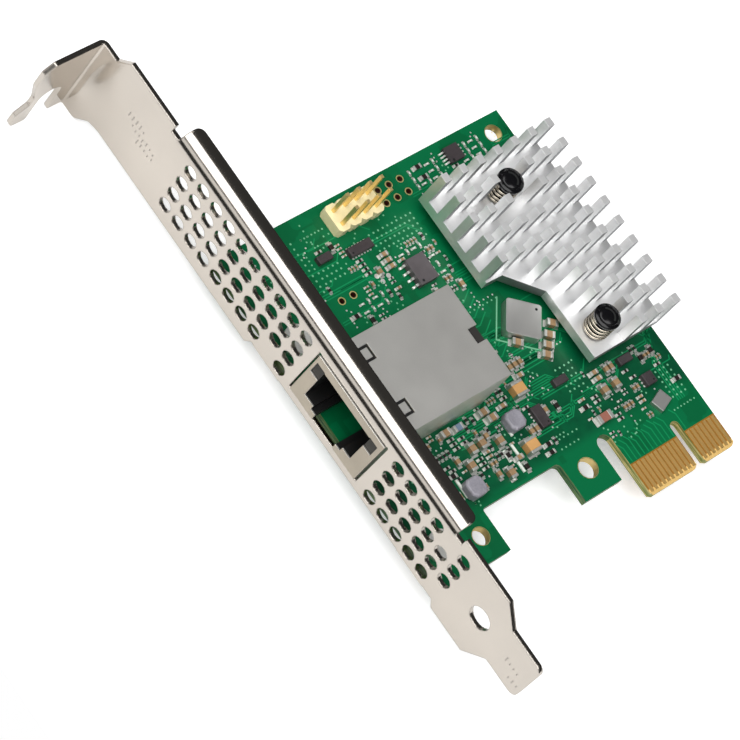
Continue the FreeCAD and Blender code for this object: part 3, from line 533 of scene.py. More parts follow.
class Finish(Enum):
    """Every finish on the card."""

    BRACKET = Metal("bracket_nickel", (0.63, 0.58, 0.52), 0.13, cloud=0.03, edge_mm=0.4)
    # The shield's walls that look along x take a painted warm reflection that darkens them.
    SHIELD = Metal("shield_plate", (0.92, 0.905, 0.86), 0.42, grain=(14.0, 1.0, 1.0), cloud=0.09, edge_mm=0.1,
                   ends=(0.53, 0.48, 0.41))
    # The heat sink's walls that look along y take painted shade, and its hollows a faint painted shade.
    ALUMINIUM = Metal("sink_aluminium", (0.99, 0.99, 0.99), 0.5, grain=(3.0, 3.0, 0.3), cloud=0.05,
                      edge_mm=0.06, depth_mm=0.003, painted_flank_shade=(0.36, 0.37, 0.38), painted_crevice_shade=0.06)
    TIN = Metal("bright_tin", (0.92, 0.92, 0.88), 0.46, cloud=0.06, edge_mm=0.05)
    SOLDER = Metal("dull_solder", (0.66, 0.67, 0.63), 0.5, cloud=0.1, edge_mm=0.04)
    GOLD = Metal("gold_plate", tone(253, 224, 154), 0.42, cloud=0.06, edge_mm=0.04)
    PALE_GOLD = Metal("contact_gold", tone(240, 198, 124), 0.46, grain=(1.0, 4.0, 1.0), cloud=0.05,
                      edge_mm=0.0)
    SPRING = Metal("spring_wire", tone(205, 196, 180), 0.2, cloud=0.05, edge_mm=0.0)
    CAN = Metal("can_lid", (0.57, 0.565, 0.545), 0.44, grain=(8.0, 1.0, 1.0), cloud=0.03, edge_mm=0.12)
    MASK = SolderMask()
    BLACK = Plastic("black_plastic", tone(22, 22, 24), 0.16, vary=0.1, shine=0.4)
    JACK_BLACK = Plastic("jack_plastic", tone(30, 30, 30), 0.4)
    LAMP = Plastic("lamp_plastic", tone(46, 44, 38), 0.4, shine=0.3)
    RESIN = Plastic("potting", tone(40, 38, 36), 0.6)
    PAD = Plastic("thermal_pad", tone(130, 132, 138), 0.8)
    CHIP = Plastic("chip_resin", tone(86, 81, 83), 0.4, grain_mm=0.1, vary=0.2)
    SMALL_CHIP = Plastic("small_chip_resin", tone(60, 54, 56), 0.45, grain_mm=0.12, vary=0.3)
    CREAM = Plastic("header_cream", tone(248, 234, 184), 0.4, vary=0.05)
    GREY = Plastic("inductor_grey", tone(142, 140, 148), 0.34, grain_mm=0.3, vary=0.2, edge_mm=0.2)
    TAN = Plastic("tantalum_tan", tone(198, 150, 94), 0.45, vary=0.1, edge_mm=0.12)
    BROWN = Plastic("ceramic_brown", tone(150, 122, 90), 0.45, vary=0.25)
    DARK = Plastic("film_black", tone(40, 34, 32), 0.3)
    BLUE = Plastic("ferrite_blue", tone(112, 130, 150), 0.4)
    RED = Plastic("fuse_red", tone(146, 96, 82), 0.4)
    TRACK = Plastic("track_mask", tone(22, 130, 80), 0.3, vary=0.08, edge_mm=0.0, shine=0.3)
    VIA = Plastic("via_mask", tone(108, 176, 136), 0.35, vary=0.1, edge_mm=0.0)
    SILK = Plastic("silk_white", tone(216, 222, 212), 0.6, vary=0.04, edge_mm=0.0)
    # Dark discs and strips: painted shade of recesses on chip dimples and push-pin slots, and the can's dark
    # dot.
    HOLE = Plastic("dark_dot_and_recess_shade", tone(16, 20, 18), 0.8, edge_mm=0.0)
    LINED = Plastic("hole_copper", tone(72, 26, 16), 0.5, edge_mm=0.0)
    # Darker nickel that paints the shade of the stamped marks.
    STAMP = Metal("stamped_nickel_painted_shade", (0.44, 0.41, 0.37), 0.3, cloud=0.05, edge_mm=0.05)

    def made(self) -> bpy.types.Material:
        """Give the finish's material, built once."""
        return bpy.data.materials.get(MADE + self.value.name) or self.value.material()


@dataclass
class Draft:
    """Points and faces gathered for one mesh.

    Attributes:
        points: Corner points in millimetres.
        faces: Corner numbers of each face.
        marks: Which finish each face takes.
        finishes: The finishes in use.
        soft: Whether each face is shaded smooth.
    """

    points: list[Vector] = field(default_factory=list)
    faces: list[tuple[int, ...]] = field(default_factory=list)
    marks: list[int] = field(default_factory=list)
    finishes: list[Finish] = field(default_factory=list)
    soft: list[bool] = field(default_factory=list)

    def face(self, corners: list[Vector], finish: Finish) -> None:
        """Add one flat face.

        Args:
            corners: Its corner points.
            finish: Its finish.
        """
        start = len(self.points)
        self.points.extend(corners)
        self.note(tuple(range(start, len(self.points))), finish, False)

    def note(self, numbers: tuple[int, ...], finish: Finish, soft: bool) -> None:
        """Add one face over points that are already there.

        Args:
            numbers: The corners' numbers.
            finish: Its finish.
            soft: Whether it is shaded smooth.
        """
        if finish not in self.finishes:
            self.finishes.append(finish)
        self.faces.append(numbers)
        self.marks.append(self.finishes.index(finish))
        self.soft.append(soft)

    def skin(self, rings: list[list[Vector]], finish: Finish, soft: bool = True, caps: bool = True) -> None:
        """Join closed rings of points into a skin.

        Args:
            rings: Rings with the same number of points each.
            finish: The skin's finish.
            soft: Whether it is shaded smooth.
            caps: Whether the end rings are filled.
        """
        start = len(self.points)
        count = len(rings[0])
        for ring in rings:
            self.points.extend(ring)
        for row in range(len(rings) - 1):
            for column in range(count):
                low = start + row * count + column
                turn = start + row * count + (column + 1) % count
                self.note((low, turn, turn + count, low + count), finish, soft)
        if caps:
            last = start + (len(rings) - 1) * count
            self.note(tuple(reversed(range(start, start + count))), finish, False)
            self.note(tuple(range(last, last + count)), finish, False)

    def box(self, centre: Vector, size: Vector, turn: float, finish: Finish, nick: float) -> None:
        """Add a box standing on its centre's level, with a narrow chamfer round its top.

        Args:
            centre: Middle of its foot.
            size: Length, width and height.
            turn: Turn about the upright axis, in radians.
            finish: Its finish.
            nick: Width of the chamfer.
        """
        spin = Matrix.Rotation(turn, 3, "Z")
        rings = []
        for inset, level in ((0.0, 0.0), (0.0, size.z - nick), (nick, size.z)):
            half_x = size.x / 2 - inset
            half_y = size.y / 2 - inset
            corners = ((-half_x, -half_y), (half_x, -half_y), (half_x, half_y), (-half_x, half_y))
            rings.append([centre + spin @ Vector((x, y, level)) for x, y in corners])
        self.skin(rings, finish, soft=False)

    def lathe(self, axis: Vector, profile: list[tuple[float, float]], finish: Finish, steps: int) -> None:
        """Turn a profile of radii and levels about an upright axis.

        Args:
            axis: A point on the axis.
            profile: Pairs of radius and level, from the bottom up.
            finish: Its finish.
            steps: Points round each ring.
        """
        turns = round_trip(steps)
        rings = [[axis + polar(turn, radius, level) for turn in turns] for radius, level in profile]
        self.skin(rings, finish)

    def ring(self, centre: Vector, inner: float, outer: float, finish: Finish, steps: int,
             sign: int = 1) -> None:
        """Add a flat ring.

        Args:
            centre: Its centre.
            inner: Radius of its hole, or 0 for a disc.
            outer: Its outer radius.
            finish: Its finish.
            steps: Points round it.
            sign: 1 to face up and -1 to face down.
        """
        turns = round_trip(steps, sign)
        rim, hole = ([centre + polar(turn, radius) for turn in turns] for radius in (outer, inner))
        if inner:
            self.skin([rim, hole], finish, soft=False, caps=False)
        else:
            self.face(rim, finish)

    def ribbon(self, route: list[Vector], width: float, level: float, finish: Finish) -> None:
        """Lay a flat ribbon with mitred bends along a route.

        Args:
            route: Points across the board.
            width: Width of the ribbon.
            level: Its level above the board's origin.
            finish: Its finish.
        """
        left, right = [], []
        headings = [(after - before).normalized() for before, after in zip(route, route[1:])]
        for point, before, after in zip(route, headings[:1] + headings, headings + headings[-1:]):
            along = (before + after).normalized()
            side = Vector((-along.y, along.x))
            reach = width / 2 / max(SHARPEST_MITRE, abs(side.dot(Vector((-after.y, after.x)))))
            left.append(Vector((*(point + side * reach), level)))
            right.append(Vector((*(point - side * reach), level)))
        for number in range(len(route) - 1):
            self.face([right[number], right[number + 1], left[number + 1], left[number]], finish)

    def build(self, name: str, slot: str, *replaced: str) -> None:
        """Make the object and let it ride on the card.

        Args:
            name: Name of the object.
            slot: The record's material slot; not used.
            *replaced: CAD nodes it stands for.
        """
        mesh = bpy.data.meshes.new(name)
        mesh.from_pydata([point * MM for point in self.points], [], self.faces)
        for finish in self.finishes:
            mesh.materials.append(finish.made())
        mesh.polygons.foreach_set("material_index", self.marks)
        mesh.polygons.foreach_set("use_smooth", self.soft)
        mesh.update()
        piece = bpy.data.objects.new(name, mesh)
        bpy.context.scene.collection.objects.link(piece)
        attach(piece, "root")
        if replaced:
            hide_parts(*replaced)
        LOG.info("%s: %d faces", name, len(self.faces))


@dataclass(frozen=True)
class Solid:
    """One straight-sided solid of a CAD node.

    Attributes:
        foot: Middle of its foot.
        size: Length, width and height.
        turn: Turn of its length about the upright axis, in radians.
    """

    foot: Vector
    size: Vector
    turn: float


@dataclass(frozen=True)
class Spread:
    """Lowest and highest x and y of a group of points.

    Attributes:
        low: Lowest x and y.
        high: Highest x and y.
    """

    low: Vector
    high: Vector

    @classmethod
    def of(cls, points: list[Vector]) -> "Spread":
        """Measure the points."""
        return cls(*(Vector((side(point.x for point in points), side(point.y for point in points)))
                     for side in (min, max)))


def corner_groups(node: str) -> list[list[Vector]]:
    """Gather the corner points of each separate solid of a CAD node.

    Args:
        node: Name of the node.

    Returns:
        The points of each solid, in millimetres.
    """
    mesh = bpy.data.objects[node].data
    keys = [tuple(round(value / MM, 3) for value in vertex.co) for vertex in mesh.vertices]
    group = {key: key for key in keys}

    def root(key: tuple[float, ...]) -> tuple[float, ...]:
        """Follow a corner to the one that stands for its solid.

        Args:
            key: The corner.

        Returns:
            The corner that stands for the solid.
        """
        while group[key] != key:
            key = group[key]
        return key

    for polygon in mesh.polygons:
        first, *others = (root(keys[number]) for number in polygon.vertices)
        for other in others:
            group[root(other)] = root(first)
    gathered: dict[tuple[float, ...], list[Vector]] = {}
    for key in sorted(group):
        gathered.setdefault(root(key), []).append(Vector(key))
    return list(gathered.values())


def solids_of(node: str) -> list[Solid]:
    """Read the boxes that make up a CAD node.

    Args:
        node: Name of the node.

    Returns:
        Its solids.
    """
    found = []
    for points in corner_groups(node):
        low = min(point.z for point in points)
        high = max(point.z for point in points)
        foot = sorted((point for point in points if point.z - low < SLACK), key=lambda point: point.x)
        middle = sum(foot, Vector()) / len(foot)
        start = foot[0]
        wide, long = sorted(foot[1:], key=lambda point: (point - start).length)[:2]
        found.append(Solid(
            Vector((middle.x, middle.y, low)),
            Vector(((long - start).length, (wide - start).length, high - low)),
            math.atan2(long.y - start.y, long.x - start.x),
        ))
    return found


@dataclass
class CadPiece:
    """A CAD node that keeps its own mesh.

    Attributes:
        node: Name of the node.
        finish: Its finish.
    """

    node: str
    finish: Finish

    def dress(self) -> None:
        """Put the finish on the node."""
        for material_slot in bpy.data.objects[self.node].material_slots:
            material_slot.material = self.finish.made()
        LOG.info("%s: %s", self.node, self.finish.value.name)


@dataclass(frozen=True)
class TwoEnded:
    """A soldered part: a body between two metal ends, each on its solder pad.

    Attributes:
        body: Finish of the body.
        ends: Share of the length that each metal end takes.
        inset: How far the body stands inside its ends.
        body_nick: Chamfer of the body.
        end_nick: Chamfer of the ends.
        pad_shift: Share of the length by which a pad's middle stands past the part.
        pad_level: Level of the pads' foot.
        pad_past: How much longer a pad is than its end.
        pad_wider: How much wider it is.
        pad_tall: Height of a pad.
        pad_nick: Chamfer of a pad.
    """

    body: Finish
    ends: float
    inset: float = 0.03
    body_nick: float = 0.03
    end_nick: float = 0.05
    pad_shift: float = 0.02
    pad_level: float = 0.01
    pad_past: float = 0.2
    pad_wider: float = 0.06
    pad_tall: float = 0.04
    pad_nick: float = 0.02

    def add(self, draft: Draft, solid: Solid) -> None:
        """Add one part with its solder pads.

        Args:
            draft: The mesh to add to.
            solid: Place and size of the part.
        """
        long, wide, tall = solid.size
        along = polar(solid.turn, 1.0)
        core = Vector((long * (1 - self.ends), wide - 2 * self.inset, tall - 2 * self.inset))
        cap = Vector((long * self.ends, wide, tall))
        pad = Vector((long * self.ends + self.pad_past, wide + self.pad_wider, self.pad_tall))
        draft.box(solid.foot + Vector((0, 0, self.inset)), core, solid.turn, self.body, self.body_nick)
        for side in SIDES:
            middle = solid.foot + along * side * long * (0.5 - self.ends / 2)
            draft.box(middle, cap, solid.turn, Finish.SOLDER, self.end_nick)
            outside = solid.foot + along * side * long * (0.5 + self.pad_shift)
            outside.z += self.pad_level
            draft.box(outside, pad, solid.turn, Finish.SOLDER, self.pad_nick)


@dataclass
class ChipFamily:
    """Two-ended soldered parts of one kind.

    Attributes:
        node: The CAD node they stand for.
        slot: The record's material slot.
        body: Finish of the body.
        ends: Share of the length that each metal end takes.
    """

    node: str
    slot: str
    body: Finish
    ends: float

    def build(self) -> None:
        """Build finer parts in place of the node's blocks."""
        draft = Draft()
        for solid in solids_of(self.node):
            TwoEnded(self.body, self.ends).add(draft, solid)
        draft.build(self.node + "_detail", self.slot, self.node)


@dataclass
class Inductors:
    """Moulded inductors: an eight-sided block with a bevelled crown over two bent terminals.

    Attributes:
        cut: Share of the width taken off each corner.
        crown: Width of the bevel round the top.
        brow: Share of the bevel's width, and depth under the top, at which it bends.
        stand: Level of the block's foot.
        terminal_out: Share of the length at which a terminal stands.
        terminal_share: Its shares of the length and width.
        terminal_tall: Its height.
        terminal_nick: Its chamfer.
    """

    cut: float = 0.2
    crown: float = 0.35
    brow: tuple[float, float] = (0.4, 0.1)
    stand: float = 0.25
    terminal_out: float = 0.34
    terminal_share: tuple[float, float] = (0.28, 0.7)
    terminal_tall: float = 0.26
    terminal_nick: float = 0.04

    def build(self) -> None:
        """Build the inductors in place of the node's blocks."""
        draft = Draft()
        for solid in solids_of("inductors"):
            long, wide, tall = solid.size
            spin = Matrix.Rotation(solid.turn, 3, "Z")
            nick = self.cut * wide
            bend, depth = self.brow
            profile = ((0.0, self.stand), (0.0, tall - self.crown), (self.crown * bend, tall - depth),
                       (self.crown, tall))
            rings = []
            for inset, level in profile:
                half_x, half_y = long / 2 - inset, wide / 2 - inset
                corners = ((half_x, half_y - nick), (half_x - nick, half_y), (nick - half_x, half_y),
                           (-half_x, half_y - nick), (-half_x, nick - half_y), (nick - half_x, -half_y),
                           (half_x - nick, -half_y), (half_x, nick - half_y))
                rings.append([solid.foot + spin @ Vector((x, y, level)) for x, y in corners])
            draft.skin(rings, Finish.GREY, soft=False)
            share_long, share_wide = self.terminal_share
            terminal = Vector((long * share_long, wide * share_wide, self.terminal_tall))
            for side in SIDES:
                foot = solid.foot + spin @ Vector((side * long * self.terminal_out, 0, 0))
                draft.box(foot, terminal, solid.turn, Finish.TIN, self.terminal_nick)
        draft.build("inductors_detail", "inductor_grey", "inductors")


@dataclass
class PushPins:
    """The two push pins and their coil springs, turned and wound finer than in the frame.

    Attributes:
        steps: Points round each turned ring.
        tip_profile: Radii of the tip, and their heights above its end.
        barb_profile: Radii of the barb, and their depths under the board.
        shank: Radius of the shank.
        rim_inset: How far the head stands inside the frame's.
        head_profile: Steps inward from the head's rim, and their heights above its underside.
        dome_inset: How far the dome's foot stands inside the rim.
        dome_shares: Shares of a quarter turn at which the dome is drawn.
        slot_turns: First angle of the curved slot in the head, step and number of points, in degrees.
        slot_shift: How far the slot's middle stands to the left of the axis.
        slot_reach: Reach of the slot's arc along x and along y.
        slot_wide: Width of the slot's dark strip of painted shade.
        wire: Radius of the spring's wire.
        wire_sides: Points round the wire.
        coils: Turns of the spring.
        coil_steps: Points along each turn.
        even: Share of the spring's rise that is even; the rest is eased, which closes its ends.
    """

    steps: int = 32
    tip_profile: tuple[tuple[float, float], ...] = ((0.75, 0.0), (0.95, 0.1))
    barb_profile: tuple[tuple[float, float], ...] = ((1.8, 0.4), (1.85, 0.3), (1.8, 0.0))
    shank: float = 1.38
    rim_inset: float = 0.12
    head_profile: tuple[tuple[float, float], ...] = (
        (0.15, 0.0), (0.0, 0.12), (0.0, 0.55), (0.12, 0.7), (0.5, 0.74), (0.52, 0.95))
    dome_inset: float = 0.4
    dome_shares: tuple[float, ...] = (0.2, 0.4, 0.58, 0.75, 0.9)
    slot_turns: tuple[int, int, int] = (-60, 15, 9)
    slot_shift: float = 0.9
    slot_reach: tuple[float, float] = (1.7, 1.5)
    slot_wide: float = 0.34
    wire: float = 0.25
    wire_sides: int = 8
    coils: float = 4.5
    coil_steps: int = 30
    even: float = 0.6

    def build(self) -> None:
        """Build pins and springs in place of the nodes."""
        low, high = box_mm("push_pins")
        coil_low, coil_high = box_mm("push_pin_springs")
        head = (high.x - low.x) / 2
        pins, springs = Draft(), Draft()
        for y in (low.y + head, high.y - head):
            centre = Vector((low.x + head, y, 0))
            self.pin(pins, centre, head - self.rim_inset, (low.z, coil_high.z, high.z))
            self.coil(springs, centre, coil_low.z, coil_high.z, (coil_high.x - coil_low.x) / 2)
        pins.build("push_pins_detail", "black_plastic", "push_pins")
        springs.build("push_pin_springs_detail", "spring_steel", "push_pin_springs")

    def pin(self, draft: Draft, centre: Vector, rim: float, levels: Triple) -> None:
        """Turn one pin: tip, barb, shank and a domed head with a curved slot drawn as a dark strip of painted
        shade.

        Args:
            draft: The mesh to add to.
            centre: A point on its axis at the board's face.
            rim: Radius of the head.
            levels: Levels of the tip, the head's underside and the head's crown.
        """
        tip, under, top = levels
        catch = Board.BOTTOM.value
        stem = [(radius, tip + rise) for radius, rise in self.tip_profile]
        stem += [(radius, catch - depth) for radius, depth in self.barb_profile]
        stem += [(self.shank, catch), (self.shank, under)]
        draft.lathe(centre, stem, Finish.BLACK, self.steps)
        crown = [(rim - inset, under + rise) for inset, rise in self.head_profile]
        dome, dome_foot = rim - self.dome_inset, crown[-1][1]
        for rise in (QUARTER * share for share in self.dome_shares):
            crown.append((dome * math.cos(rise), dome_foot + (top - dome_foot) * math.sin(rise)))
        draft.lathe(centre, crown, Finish.BLACK, self.steps)
        first, step, count = self.slot_turns
        reach_x, reach_y = self.slot_reach
        arc = []
        for angle in (math.radians(first + step * number) for number in range(count)):
            arc.append(Vector((centre.x - self.slot_shift + reach_x * math.cos(angle),
                               centre.y + reach_y * math.sin(angle))))
        # The slot is a flat dark strip: painted shade instead of a cut.
        draft.ribbon(arc, self.slot_wide, top, Finish.HOLE)

    def coil(self, draft: Draft, centre: Vector, low: float, high: float, outer: float) -> None:
        """Wind one spring of round wire with closed ends.

        Args:
            draft: The mesh to add to.
            centre: A point on its axis.
            low: Level of its foot.
            high: Level of its top.
            outer: Its outer radius.
        """
        count = int(self.coils * self.coil_steps)
        rings = []
        for share in (step / count for step in range(count + 1)):
            eased = 0.5 - 0.5 * math.cos(math.pi * share)
            climb = self.even * share + (1 - self.even) * eased
            out = polar(math.tau * self.coils * share, 1.0)
            middle = centre + out * (outer - self.wire)
            middle.z += low + self.wire + (high - low - 2 * self.wire) * climb
            ring = []
            for turn in round_trip(self.wire_sides):
                lift = Vector((0, 0, self.wire * math.sin(turn)))
                ring.append(middle + out * self.wire * math.cos(turn) + lift)
            rings.append(ring)
        draft.skin(rings, Finish.SPRING)


@dataclass
class LeadlessChips:
    """Moulded chips drawn finer: chamfered top, a pin-one dimple as a dark disc of painted shade and, where
    asked, pads round the foot.

    Attributes:
        node: The CAD node they stand for.
        slot: The record's material slot.
        finish: Finish of the body.
        pads: Whether pads show round the foot.
        nick: Width of the top's chamfer.
        dot: Radius of the pin-one dimple's dark disc of painted shade, or 0 for none.
        dot_in: How far the dimple stands inside the chip's sides.
        pitch: Pitch of the pads.
        pad: Length, width and height of a pad.
        pad_nick: Chamfer of a pad.
    """

    node: str
    slot: str
    finish: Finish
    pads: bool = False
    nick: float = 0.08
    dot: float = 0.18
    dot_in: float = 0.55
    pitch: float = 0.65
    pad: Triple = (0.34, 0.5, 0.05)
    pad_nick: float = 0.01

    def build(self) -> None:
        """Build the chips in place of the node's blocks."""
        draft = Draft()
        for solid in solids_of(self.node):
            draft.box(solid.foot, solid.size, solid.turn, self.finish, self.nick)
            spin = Matrix.Rotation(solid.turn, 3, "Z")
            # The dimple is a flat dark disc: painted shade instead of a recess.
            if self.dot:
                corner = Vector((-solid.size.x / 2 + self.dot_in, -solid.size.y / 2 + self.dot_in,
                                 solid.size.z + HAIR))
                draft.ring(solid.foot + spin @ corner, 0, self.dot, Finish.HOLE, steps=12)
            if self.pads:
                self.pad_rows(draft, solid, spin)
        draft.build(self.node + "_detail", self.slot, self.node)

    def pad_rows(self, draft: Draft, solid: Solid, spin: Matrix) -> None:
        """Add a row of short pads along both long sides.

        Args:
            draft: The mesh to add to.
            solid: The chip.
            spin: Its turn.
        """
        count = max(2, int(solid.size.x / self.pitch))
        for number in range(count):
            along = (number - (count - 1) / 2) * self.pitch
            for side in SIDES:
                foot = solid.foot + spin @ Vector((along, side * solid.size.y / 2, HAIR))
                draft.box(foot, Vector(self.pad), solid.turn, Finish.TIN, self.pad_nick)


@dataclass
class Occupied:
    """Which parts of the board's component face are taken.

    Attributes:
        boxes: Taken rectangles as lowest and highest x, lowest and highest y. They start with the heat
            sink's wide half, narrow half and slanted corner, then the three mounting holes and the two
            groups of lead holes.
        left: The leftmost free x.
        right: The rightmost free x.
        top: The highest free y.
        floors: The lowest free y up to each x, from the left.
        passed: CAD nodes whose own boxes would take too much or nothing.
        proud: How far a solid must stand over the board to take its place.
    """

    boxes: list[tuple[float, float, float, float]] = field(default_factory=lambda: [
        (-17.9, 8.0, 43.0, 61.3), (-8.8, 8.0, 23.4, 43.2), (-14.4, -8.0, 37.0, 43.2),
        (2.6, 6.8, 63.2, 67.4), (-21.7, -17.3, 7.1, 11.5), (-46.8, -42.4, 6.8, 11.1),
        (-23.0, -15.5, 62.0, 67.5), (-42.0, -36.5, 51.4, 54.2)])
    left: float = -55.5
    right: float = 7.4
    top: float = 67.9
    floors: tuple[tuple[float, float], ...] = ((-41.0, 6.2), (-23.0, 14.0), (-14.5, 13.6), (math.inf, 9.6))
    passed: tuple[str, ...] = (
        "bracket", "circuit_board", "push_pins", "push_pin_springs", "jack_pins", "heat_sink")
    proud: float = 0.1

    def read(self, record: dict) -> None:
        """Take the places of every CAD node that stands on the board.

        Args:
            record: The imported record.
        """
        for node in (part["node"] for part in record["subparts"]):
            for points in () if node in self.passed else corner_groups(node):
                if max(point.z for point in points) > self.proud:
                    spread = Spread.of(points)
                    self.boxes.append((spread.low.x, spread.high.x, spread.low.y, spread.high.y))

    def free(self, x: float, y: float, half_x: float, half_y: float) -> bool:
        """Tell whether a rectangle is clear of everything and inside the board.

        Args:
            x: Middle across.
            y: Middle up.
            half_x: Half its width.
            half_y: Half its height.

        Returns:
            True if it is free.
        """
        inside = self.left < x - half_x and x + half_x < self.right and y + half_y < self.top
        floor = next(level for edge, level in self.floors if x < edge)
        if not inside or y - half_y < floor:
            return False
        return all(x + half_x < low_x or x - half_x > high_x or y + half_y < low_y or y - half_y > high_y
                   for low_x, high_x, low_y, high_y in self.boxes)

    def take(self, x: float, y: float, half_x: float, half_y: float) -> None:
        """Take a rectangle round its middle."""
        self.boxes.append((x - half_x, x + half_x, y - half_y, y + half_y))


@dataclass(frozen=True)
class Crowd:
    """An area of the board crowded with the smallest two-ended parts.

    Attributes:
        low: Lowest x and y.
        high: Highest x and y.
        count: How many places are tried.
        seed: Seed of the places.
    """

    low: tuple[float, float]
    high: tuple[float, float]
    count: int
    seed: int


@dataclass
class TinyParts:
    """The smallest soldered parts, too small for the frame: they stand in loose rows on a fine grid.

    Attributes:
        crowds: The areas they fill.
        grid: Pitch of the grid.
        kinds: Length, width, height and body of the kinds they are drawn from.
        runs: How many may stand side by side.
        ranks: Left, low, columns, rows and steps of each tidy block of parts.
        rank_size: Length, width and height of a part in a tidy block.
        gap: Room between neighbours in a run.
        room: Room kept free past a part's end and side.
        ends: Share of the length that each metal end takes.
    """

    crowds: tuple[Crowd, ...] = (
        Crowd((-27, 45), (-18, 60), 60, 1),
        Crowd((-42, 47), (-27, 60), 46, 2),
        Crowd((-14, 62), (3, 67.5), 14, 3),
        Crowd((-47, 15), (-22, 27), 100, 4),
        Crowd((-14, 11), (5, 23), 62, 5),
        Crowd((-29, 26), (-20, 33), 22, 6),
        Crowd((-55, 46), (-44, 60), 14, 7),
    )
    grid: float = 0.635
    kinds: tuple[tuple[float, float, float, Finish], ...] = (
        (1.0, 0.5, 0.5, Finish.BROWN), (1.0, 0.5, 0.35, Finish.DARK), (0.7, 0.35, 0.3, Finish.BROWN),
        (0.7, 0.35, 0.25, Finish.DARK), (1.6, 0.8, 0.7, Finish.BROWN), (1.0, 0.5, 0.35, Finish.DARK))
    runs: tuple[int, ...] = (1, 2, 3, 4)
    ranks: tuple[tuple[float, float, int, int, float, float], ...] = (
        (-15.9, 63.3, 6, 3, 1.35, 1.35), (-3.2, 63.4, 4, 3, 1.45, 1.3), (-23.4, 49.0, 3, 3, 1.5, 1.6),
        (-37.6, 49.2, 4, 2, 1.5, 1.5), (-25.5, 53.2, 4, 2, 1.4, 1.5))
    rank_size: Triple = (0.75, 0.36, 0.3)
    gap: float = 0.35
    room: tuple[float, float] = (0.22, 0.14)
    ends: float = 0.26

    def build(self, taken: Occupied) -> None:
        """Place the parts and build them as one piece.

        Args:
            taken: The places already taken.
        """
        draft = Draft()
        for left, low, columns, rows, step_x, step_y in self.ranks:
            for number in range(columns * rows):
                foot = Vector((left + number % columns * step_x, low + number // columns * step_y, 0))
                part = Solid(foot, Vector(self.rank_size), number % 2 * QUARTER)
                self.place(draft, taken, part, Finish.SILK)
        for crowd in self.crowds:
            draw = random.Random(crowd.seed)
            for _ in range(crowd.count):
                x, y = (round(draw.uniform(low, high) / self.grid) * self.grid
                        for low, high in zip(crowd.low, crowd.high))
                turn = QUARTER if draw.random() < 0.5 else 0.0
                long, wide, tall, body = draw.choice(self.kinds)
                start, size = Vector((x, y, 0)), Vector((long, wide, tall))
                for number in range(draw.choice(self.runs)):
                    step = (size.y + self.gap) * number
                    foot = (start.x + step, start.y, 0) if turn else (start.x, start.y + step, 0)
                    self.place(draft, taken, Solid(Vector(foot), size, turn), body)
        draft.build("tiny_parts", "ceramic_brown")

    def place(self, draft: Draft, taken: Occupied, part: Solid, body: Finish) -> None:
        """Add one part if its place is free.

        Args:
            draft: The mesh to add to.
            taken: The places already taken.
            part: Its place and size; it lies along x, or along y where it is turned.
            body: Finish of the body.
        """
        halves = [size / 2 + room for size, room in zip(part.size, self.room)]
        place = (part.foot.x, part.foot.y, *(halves[::-1] if part.turn else halves))
        if taken.free(*place):
            taken.take(*place)
            TwoEnded(body, self.ends).add(draft, part)


